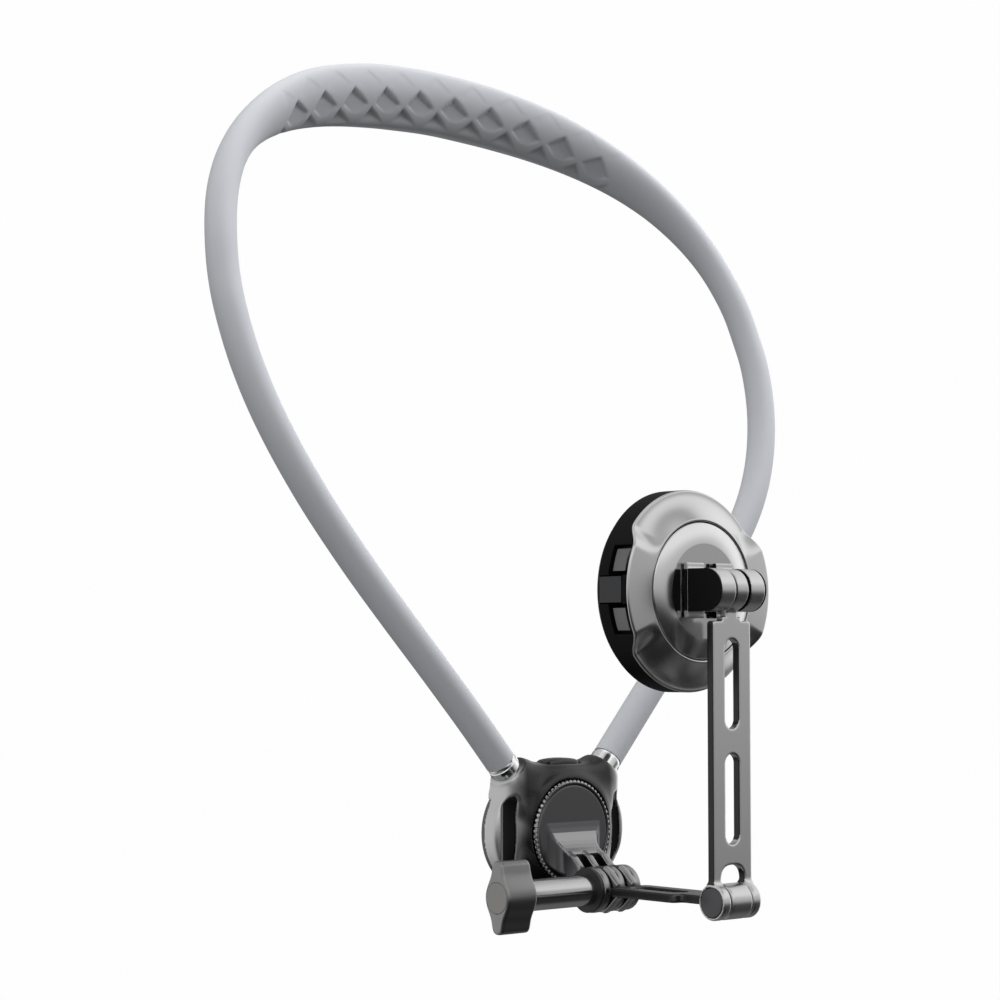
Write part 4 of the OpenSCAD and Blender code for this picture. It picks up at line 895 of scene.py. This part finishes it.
def arm_field(x, y, z):
    """Plate with its slots and arch, cheeks with a rounded outer edge, and the knuckle."""
    ax = np.abs(x)
    plan = shared(ax - bar_wide / 2, slab(z, 0.0, arm_top), soft=1.2)
    throat = np.maximum(ax - throat_share * knuckle_half, slab(z, throat_low, arm_top + throat_lap))
    plan = joined(plan, throat, soft=1.0)
    plan = np.minimum(plan, np.maximum(ax - knuckle_half, slab(z, throat_low, arm_len)))
    for low in (slot_low, slot_low + slot_pitch):
        plan = shared(plan, -bar_slot(x, z, low, low + slot_long, slot_wide), soft=0.2)
    plan = shared(plan, -shared(ax - arch_half, z - arch_top, soft=5.0), soft=0.2)
    plate = shared(plan, slab(y, -bar_thick / 2, bar_thick / 2), soft=0.5)
    cheeks = shared(np.hypot(y, z) - hinge_r, slab(ax, neck_half + cheek_air, bar_wide / 2), soft=1.0)
    knuckle = shared(np.hypot(y, z - arm_len) - knuckle_r, ax - knuckle_half, soft=0.3)
    whole = joined(joined(plate, cheeks, soft=1.6), knuckle, soft=0.8)
    room = np.maximum(np.hypot(y, z) - hinge_r - hinge_air, ax - neck_half)
    seat = np.maximum(np.hypot(y, z) - cap_r, bar_wide / 2 - cap_seat - ax)
    bores = np.minimum(np.hypot(y, z) - pin_r, np.hypot(y, z - arm_len) - hinge_bore)
    return np.maximum(whole, -np.minimum(np.minimum(room, seat), bores))


points, faces = skin_of(arm_field, low=(-9.3, -6.6, -6.5), high=(9.3, 6.6, 104.5), step=0.32)
slotted_arm = piece_of(
    "slotted_arm", (points + arm_at) * millimetre, faces, satin, "arm", "upper_arm", slot="satin_alloy"
)
sides_low, sides_high = ((arm_at[2] + high) * millimetre for high in (hinge_r, arm_top))


def on_arm_sides(x, y, z, nx, ny, nz):
    """True on the narrow sides of the plate and of its slots, which get painted shade."""
    return (np.abs(nx) > 0.8) & (z > sides_low) & (z < sides_high)


# The arm's narrow sides and slot walls get painted shade.
second_finish(slotted_arm, painted_shade_dark, on_arm_sides)


# Caps of the lower hinge. Dark discs with a rounded rim, pressed into the outer faces of the arm's
# cheeks, over the ends of the pin.
def turned(profile, around, centre, axis):
    """Surface of revolution: the profile's rows are (radius, place along the axis), closed on itself,
    carried round the axis, 0 for X and 1 for Y, through the centre."""
    angle = np.arange(around) * 2 * np.pi / around
    radius, place = np.array(profile).T
    first, second = radius[:, None] * np.cos(angle), radius[:, None] * np.sin(angle)
    fixed = place[:, None] + 0 * angle
    grid = [fixed, first, second] if axis == 0 else [second, fixed, first]
    points = np.stack(grid, axis=-1).reshape(-1, 3) + centre
    return points, tube_faces(len(profile), around)


dark_cap = finish_of("dark_cap", (0.09, 0.09, 0.095), metal=0.8, rough=0.38, grain_scale=2200)
cap_out, cap_in = bar_wide / 2 + 0.02, bar_wide / 2 - 0.93
cap_rows = [
    (0.0, cap_out), (4.3, cap_out), (4.6, cap_out - 0.1), (4.72, cap_out - 0.3), (4.72, cap_in),
    (0.0, cap_in),
]
cap_points, cap_faces = [], []
for side in (-1, 1):
    profile = [(radius, side * place) for radius, place in cap_rows][::-side]
    points, faces = turned(profile, around=96, centre=arm_at, axis=0)
    cap_faces.append(faces + len(points) * len(cap_points))
    cap_points.append(points)
piece_of(
    "hinge_caps", np.concatenate(cap_points) * millimetre, np.concatenate(cap_faces), dark_cap, "arm",
    "lower_pin_caps", slot="gloss_black",
)

# Fork of the upper hinge. A cast alloy part with two rounded cheeks beside the arm's knuckle and a web
# with a lip above and below, behind them. Black plates close its outer faces.
high_at = arm_at + np.array([0.0, 0.0, arm_len])
fork_half, fork_r, fork_back, fork_web, side_thick, lip_tall, lip_half = 10.4, 6.8, 9.52, 1.7, 0.52, 8.84, 2.7
cheek_gap, black_inside, black_outside, black_half_tall = 0.9, 1.1, 0.15, 6.6


def fork_field(x, y, z):
    """Cheeks with a round front, joined behind by the web, with the two pairs of lips."""
    ax = np.abs(x)
    outline = np.hypot(np.minimum(y, 0), z) - fork_r
    outline = np.maximum(np.maximum(outline, y - fork_back), np.abs(z) - fork_r)
    cheeks = shared(outline, slab(ax, knuckle_half + cheek_gap, fork_half - side_thick), soft=0.3)
    web = np.maximum(slab(y, fork_back - fork_web, fork_back), np.maximum(ax - fork_half, np.abs(z) - fork_r))
    lips = shared(slab(y, fork_back - fork_web, fork_back), np.abs(z) - lip_tall, soft=0.6)
    lips = np.maximum(lips, slab(ax, lip_half, fork_half))
    whole = joined(cheeks, np.minimum(web, lips), soft=0.8)
    return np.maximum(whole, pin_r - np.hypot(y, z))


points, faces = skin_of(fork_field, low=(-11, -7.4, -9.4), high=(11, 10.2, 9.4), step=0.3)
hinge_fork = piece_of(
    "hinge_fork", (points + high_at) * millimetre, faces, satin, "fork", "swivel_fork", slot="satin_alloy"
)
# Black for the fork's real side plates, and painted shade on the cheeks' inner faces.
black_and_painted_shade = finish_of(
    "black_and_painted_shade", (0.004, 0.004, 0.004), metal=0.0, rough=0.45, grain_scale=1800, edge=0.0002, specular=0.1
)


def on_outer_sides(x, y, z, nx, ny, nz):
    """True on the outer sides of the web, beside the black plates, not on the lips."""
    from_middle = np.abs(z - high_at[2] * millimetre)
    at_side = (np.abs(nx) > 0.9) & (np.abs(x) > (fork_half - black_outside) * millimetre)
    return at_side & (from_middle < black_half_tall * millimetre)


def on_inner_sides(x, y, z, nx, ny, nz):
    """True on the cheeks' faces towards the knuckle, which get painted shade."""
    return (np.abs(nx) > 0.6) & (np.abs(x) < (knuckle_half + black_inside) * millimetre)


second_finish(hinge_fork, black_and_painted_shade, on_outer_sides)
# The cheeks' faces towards the knuckle get painted shade in the black finish.
second_finish(hinge_fork, black_and_painted_shade, on_inner_sides)

# Front cover of the head. A pressed bright cover: a hollow flare from the outer rim up to the groove of
# the turning plate. On each side an ear keeps its full width further forward, in a smooth curve.
head_at = high_at + np.array([0.0, 27.3, 0.0])
head_r, hole_r, cover_low, cover_top, ear_low = 32.6, 22.3, 9.78, 15.97, 14.45
flare_in_r, rim_round, lip_round, under_r, wall_in, under_gap = 23.1, 0.75, 0.5, 29.0, 1.5, 0.2
lip_drop, ear_reach, ear_fade, flare_power, ear_power = 0.05, 41, 17, 1.7, 0.75
cover_steps, cover_around = 64, 720
cover_angle = np.arange(cover_around) * 2 * np.pi / cover_around
from_side = np.degrees(np.abs(np.arctan2(np.sin(cover_angle), np.abs(np.cos(cover_angle)))))
ear = smooth_step((ear_reach - from_side) / ear_fade)[:, None]


def section_of(*parts):
    """Closed sections of the head, one for each angle: the parts side by side, each a number, a row
    that holds at every angle, or a grid."""
    return np.concatenate([np.atleast_2d(part) + 0 * ear for part in parts], axis=1)


def round_head(radius, depth):
    """Points of a grid of radius and depth rows against the angle round the head's axis."""
    return np.stack(
        [radius * np.cos(cover_angle)[:, None], -depth, radius * np.sin(cover_angle)[:, None]], axis=-1
    )


edge_low = cover_low + (ear_low - cover_low) * ear
rim_high = edge_low + rim_round
flare_u = np.linspace(0, 1, cover_steps)[None, :]
flare_at_r = flare_in_r + (head_r - rim_round - flare_in_r) * flare_u
flare_d = rim_high + (cover_top - lip_drop - rim_high) * (1 - flare_u) ** (flare_power - ear_power * ear)
rim_turn = np.linspace(0, np.pi / 2, 7)[None, 1:]
rim_r = head_r - rim_round + rim_round * np.sin(rim_turn)
rim_d = rim_high - rim_round + rim_round * np.cos(rim_turn)
lip_turn = np.linspace(0, np.pi / 2, 6)[None, :]
lip_r = hole_r + lip_round - lip_round * np.cos(lip_turn)
lip_d = cover_top - lip_round + lip_round * np.sin(lip_turn)
under_d = cover_low + (edge_low - under_gap - cover_low) * ear
cover_r = section_of(hole_r, lip_r, flare_at_r, rim_r, head_r - wall_in, under_r)
cover_d = section_of(cover_low, lip_d, flare_d, rim_d, edge_low, under_d)
head_alloy = finish_of(
    "head_alloy", (0.58, 0.58, 0.58), metal=1.0, rough=0.28, grain=0.0, grain_scale=900, spread=0.02
)
points = round_head(cover_r, cover_d)
piece_of(
    "head_cover", (points.reshape(-1, 3) + head_at) * millimetre,
    tube_faces(cover_around, cover_r.shape[1], closed=True), head_alloy, "head", "front_cover",
    slot="head_alloy",
)

# Turning plate in the middle of the head. A bright turned cone that rises from the cover's groove to a
# flat polished disc, on which the fork stands.
plate_r, plate_edge_d, plate_back, disc_edge_r, disc_d, disc_proud = 22.0, 15.5, 9.0, 15.4, 17.1, 0.04
profile = [
    (0.0, -plate_back), (plate_r, -plate_back), (plate_r, -plate_edge_d),
    (plate_r - 0.1, -plate_edge_d - 0.25), (plate_r - 0.35, -plate_edge_d - 0.48),
    (disc_edge_r + 0.1, 0.02 - disc_d), (disc_edge_r - 0.1, -disc_d), (0.0, -disc_d),
]
plate_alloy = finish_of("plate_alloy", (0.66, 0.66, 0.66), metal=1.0, rough=0.24)
points, faces = turned(profile, around=240, centre=head_at, axis=1)
piece_of(
    "turning_plate", points * millimetre, faces[:, ::-1], plate_alloy, "fork", "centre_plate",
    slot="head_alloy",
)
shown_disc_r, disc_sunk = disc_edge_r - 0.3, 0.4
profile = [
    (0.0, disc_sunk - disc_d), (shown_disc_r, disc_sunk - disc_d), (shown_disc_r, -disc_proud - disc_d),
    (0.0, -disc_proud - disc_d),
]
points, faces = turned(profile, around=240, centre=head_at, axis=1)
disc_alloy = finish_of("disc_alloy", (0.46, 0.46, 0.462), metal=1.0, rough=0.14, grain=0.0)
piece_of(
    "polished_disc", points * millimetre, faces[:, ::-1], disc_alloy, "fork", "plate_disc",
    slot="satin_alloy",
)

# Rear shell of the head. Moulded in matt black plastic. In each side stands a slot for the squeeze tab,
# with a window above it and one below it.
shell_black = finish_of(
    "shell_black", (0.004, 0.004, 0.0045), metal=0.0, rough=0.42, grain=0.00002, grain_scale=1800,
    specular=0.06,
)
shell_back, shell_wall_low, shell_in_r, shell_chamfer_r, shell_lap_r = 1.05, 1.7, 22.6, 32.1, 30.5
wall_rows = np.linspace(0, 1, 76)[None, :]
wall_d = shell_wall_low + (edge_low - shell_wall_low) * wall_rows
shell_r = section_of(shell_in_r, shell_chamfer_r, head_r + 0 * wall_d, shell_lap_r, shell_in_r)
shell_d = section_of(shell_back, shell_back, wall_d, edge_low, cover_low)
points = round_head(shell_r, shell_d)
shell_x, shell_depth, shell_z = points[..., 0], -points[..., 1], np.abs(points[..., 2])


def between(value, low, high, soft=0.3):
    """1 well between low and high, 0 outside, with an even step of width soft on each side."""
    return smooth_step((value - low) / soft + 0.5) * smooth_step((high - value) / soft + 0.5)


window_low, window_high, window_back, window_front, window_floor = 4.75, 13.95, 6.1, 14.0, 27.4
tab_half, tab_back, tab_front, tab_floor, tab_split, wall_from_r = 4.35, 2.2, 12.2, 28.2, 4.6, 31.0
on_wall = (shell_r > wall_from_r).astype(float)
window = between(shell_z, window_low, window_high) * between(shell_depth, window_back, window_front)
tab_slot = between(shell_z, -1.0, tab_half) * between(shell_depth, tab_back, tab_front)
deep = np.where(shell_z > tab_split, window, tab_slot) * on_wall
floor_x = np.where(shell_z > tab_split, window_floor, tab_floor)
points[..., 0] = shell_x + np.sign(shell_x) * deep * (floor_x - np.abs(shell_x))
piece_of(
    "rear_housing", (points.reshape(-1, 3) + head_at) * millimetre,
    tube_faces(cover_around, shell_r.shape[1], closed=True)[:, ::-1], shell_black, "head", "rear_shell",
    slot="black_plastic",
)

# Blocks in the windows of the head. Small satin grey blocks with rounded edges, set into the shell
# above and below each squeeze tab. Their faces follow the shell's round wall and lean back a little.
block_low, block_high, block_back, block_front, block_root, block_lap = 5.15, 13.5, 6.5, 13.65, 27.2, 27.0
block_edge, block_sunk, block_lean, rows_z, rows_d = 0.5, 0.35, 0.06, 25, 21
block_grey = finish_of("block_grey", (0.16, 0.16, 0.162), metal=1.0, rough=0.4, grain_scale=1800)
grid_z, grid_d = np.meshgrid(
    np.linspace(block_low, block_high, rows_z), np.linspace(block_back, block_front, rows_d), indexing="ij"
)
rise = smooth_step((grid_z - block_low) / block_edge) * smooth_step((block_high - grid_z) / block_edge)
rise *= smooth_step((grid_d - block_back) / block_edge)
rise *= smooth_step((block_front - grid_d) / block_edge)
outer_x = np.sqrt(head_r**2 - grid_z**2) - block_sunk - block_lean * (block_front - grid_d)
grid_x = block_root + rise * (outer_x - block_root)
# The face is a grid. A skirt goes down from its rim, and a fan round one point closes the block behind.
index = np.arange(rows_z * rows_d).reshape(rows_z, rows_d)
rim = np.concatenate([index[:-1, 0], index[-1, :-1], index[:0:-1, -1], index[0, :0:-1]])
under = index.size + np.arange(len(rim))
middle = np.full(len(rim), index.size + len(rim))
face = np.stack([index[:-1, :-1], index[1:, :-1], index[1:, 1:], index[:-1, 1:]], axis=-1).reshape(-1, 4)
skirt = np.stack([rim, np.roll(rim, -1), np.roll(under, -1), under], axis=-1)
fan = np.stack([under, np.roll(under, -1), middle, middle], axis=-1)
block_points, block_faces = [], []
for side in (-1, 1):
    for up in (-1, 1):
        points = np.stack([side * grid_x, -grid_d, up * grid_z], axis=-1).reshape(-1, 3)
        foot = points[rim] * [0, 1, 1] + [side * block_lap, 0, 0]
        faces = np.concatenate([face, skirt[:, ::-1], fan[:, ::-1]])[:, :: side * up]
        block_faces.append(faces + (index.size + len(rim) + 1) * len(block_points))
        block_points.append(np.concatenate([points, foot, foot.mean(axis=0, keepdims=True)]))
piece_of(
    "window_wedges", (np.concatenate(block_points) + head_at) * millimetre, np.concatenate(block_faces),
    block_grey, "head", "window_blocks", slot="satin_alloy", sharp_from=0,
)

# Face pad of the head. A soft black disc glued over the magnets, with rounded edges and two fine rings
# pressed into its face.
rubber = finish_of("black_rubber", (0.02, 0.02, 0.021), metal=0.0, rough=0.7, grain=0.00004, grain_scale=1500)
pad_r, pad_deep, pad_round, pad_bevel = 31.6, 0.99, 0.4, 0.12
outer_ring_r, inner_ring_r, ring_wide, ring_deep = 27.6, 21.5, 0.35, 0.18
face_r = (pad_r - pad_round) * np.linspace(0, 1, 90)
face_y = -ring_deep * sum(np.exp(-(((face_r - r) / ring_wide) ** 2)) for r in (outer_ring_r, inner_ring_r))
profile = list(zip(face_r, face_y))
profile += [(pad_r - pad_bevel, -pad_bevel), (pad_r, -pad_round), (pad_r, -pad_deep), (0.0, -pad_deep)]
points, faces = turned(profile, around=240, centre=head_at, axis=1)
piece_of("face_cushion", points * millimetre, faces[:, ::-1], rubber, "head", "face_pad", slot="black_rubber")

# Chest pad. A soft black pad glued on the back cover of the hub, with rounded edges, a hollow over each
# cover screw and shallow ribs.
pad_front, pad_back, pad_inset, pad_half = 12.3, 13.7, 1.54, 20.0
hollow_x, hollow_z, hollow_r = 13.18, 14.18, 3.28
rib_pitch, rib_tall, rib_wide, rib_half_long, rib_half_tall, rib_fade = 2.5, 0.22, 0.4, 17.0, 12.5, 1.5


def chest_field(x, y, z):
    """Stadium cut off straight at the slots, with rounded edges, less four round hollows."""
    ax = np.abs(x)
    plan = shared(pill(x, z, ear_x, ear_r - pad_inset), ax - pad_half, soft=2.0)
    from_rib = np.abs((z + rib_pitch / 2) % rib_pitch - rib_pitch / 2)
    rib = rib_tall * smooth_step(1 - from_rib / rib_wide) * smooth_step((rib_half_long - ax) / rib_fade)
    rib = rib * smooth_step((rib_half_tall - np.abs(z)) / rib_fade)
    pad = shared(plan, np.maximum(y - pad_back + rib, pad_front - y), soft=0.9)
    holes = np.hypot(ax - hollow_x, np.abs(z) - hollow_z) - hollow_r
    return shared(pad, -holes, soft=0.4)


points, faces = skin_of(chest_field, low=(-21, 12, -19), high=(21, 14, 19), step=0.3)
piece_of(
    "chest_cushion", (points + hub_at) * millimetre, faces, rubber, "frame", "chest_pad",
    slot="black_rubber",
)

# Remaining solids, which keep the frame's shapes. Steel and brass for the fastenings, polished alloy
# for the knob's barrel, grey for the tabs and the knob's plug, black for the knob's flange and the
# fork's sides, and dark satin for the hub's back cover.
steel = finish_of("fastener_steel", (0.55, 0.55, 0.56), metal=1.0, rough=0.3, grain_scale=1800, edge=0.0003)
brass = finish_of("brass", (0.62, 0.47, 0.2), metal=1.0, rough=0.3, grain_scale=1800, edge=0.0003)
tab_grey = finish_of("tab_grey", (0.055, 0.055, 0.057), metal=0.9, rough=0.4, grain_scale=1800, edge=0.0003)
black = finish_of(
    "black_plastic", (0.012, 0.012, 0.013), metal=0.0, rough=0.5, grain=0.00002, grain_scale=1800, edge=0.0004
)
warm_grey = finish_of("warm_grey", (0.26, 0.255, 0.25), metal=0.8, rough=0.4, grain_scale=1800, edge=0.0003)
nickel = finish_of(
    "magnet_nickel", (0.6, 0.58, 0.54), metal=1.0, rough=0.22, grain=0.0, grain_scale=900, edge=0.0002
)
finish_nodes = {
    dark_satin: ["hub_back_cover"],
    tab_grey: ["tab_left", "tab_right"],
    polished: ["knob_barrel"],
    steel: [
        "band_core", "cover_screws", "button_spring", "turntable_screw", "hex_nut", "clamp_screw",
        "lower_hinge_pin", "upper_hinge_pin", "swivel_screw", "shunt_ring", "shell_screws", "tab_springs",
    ],
    brass: ["core_clamps", "index_washer", "retaining_plate"],
    black: ["knob_flange"],
    black_and_painted_shade: ["fork_side_plates", "fork_boss"],
    warm_grey: ["knob_plug"],
    nickel: ["magnet_ring"],
}
for finish, names in finish_nodes.items():
    for node in names:
        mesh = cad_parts[node].data
        mesh.materials.clear()
        mesh.materials.append(finish)
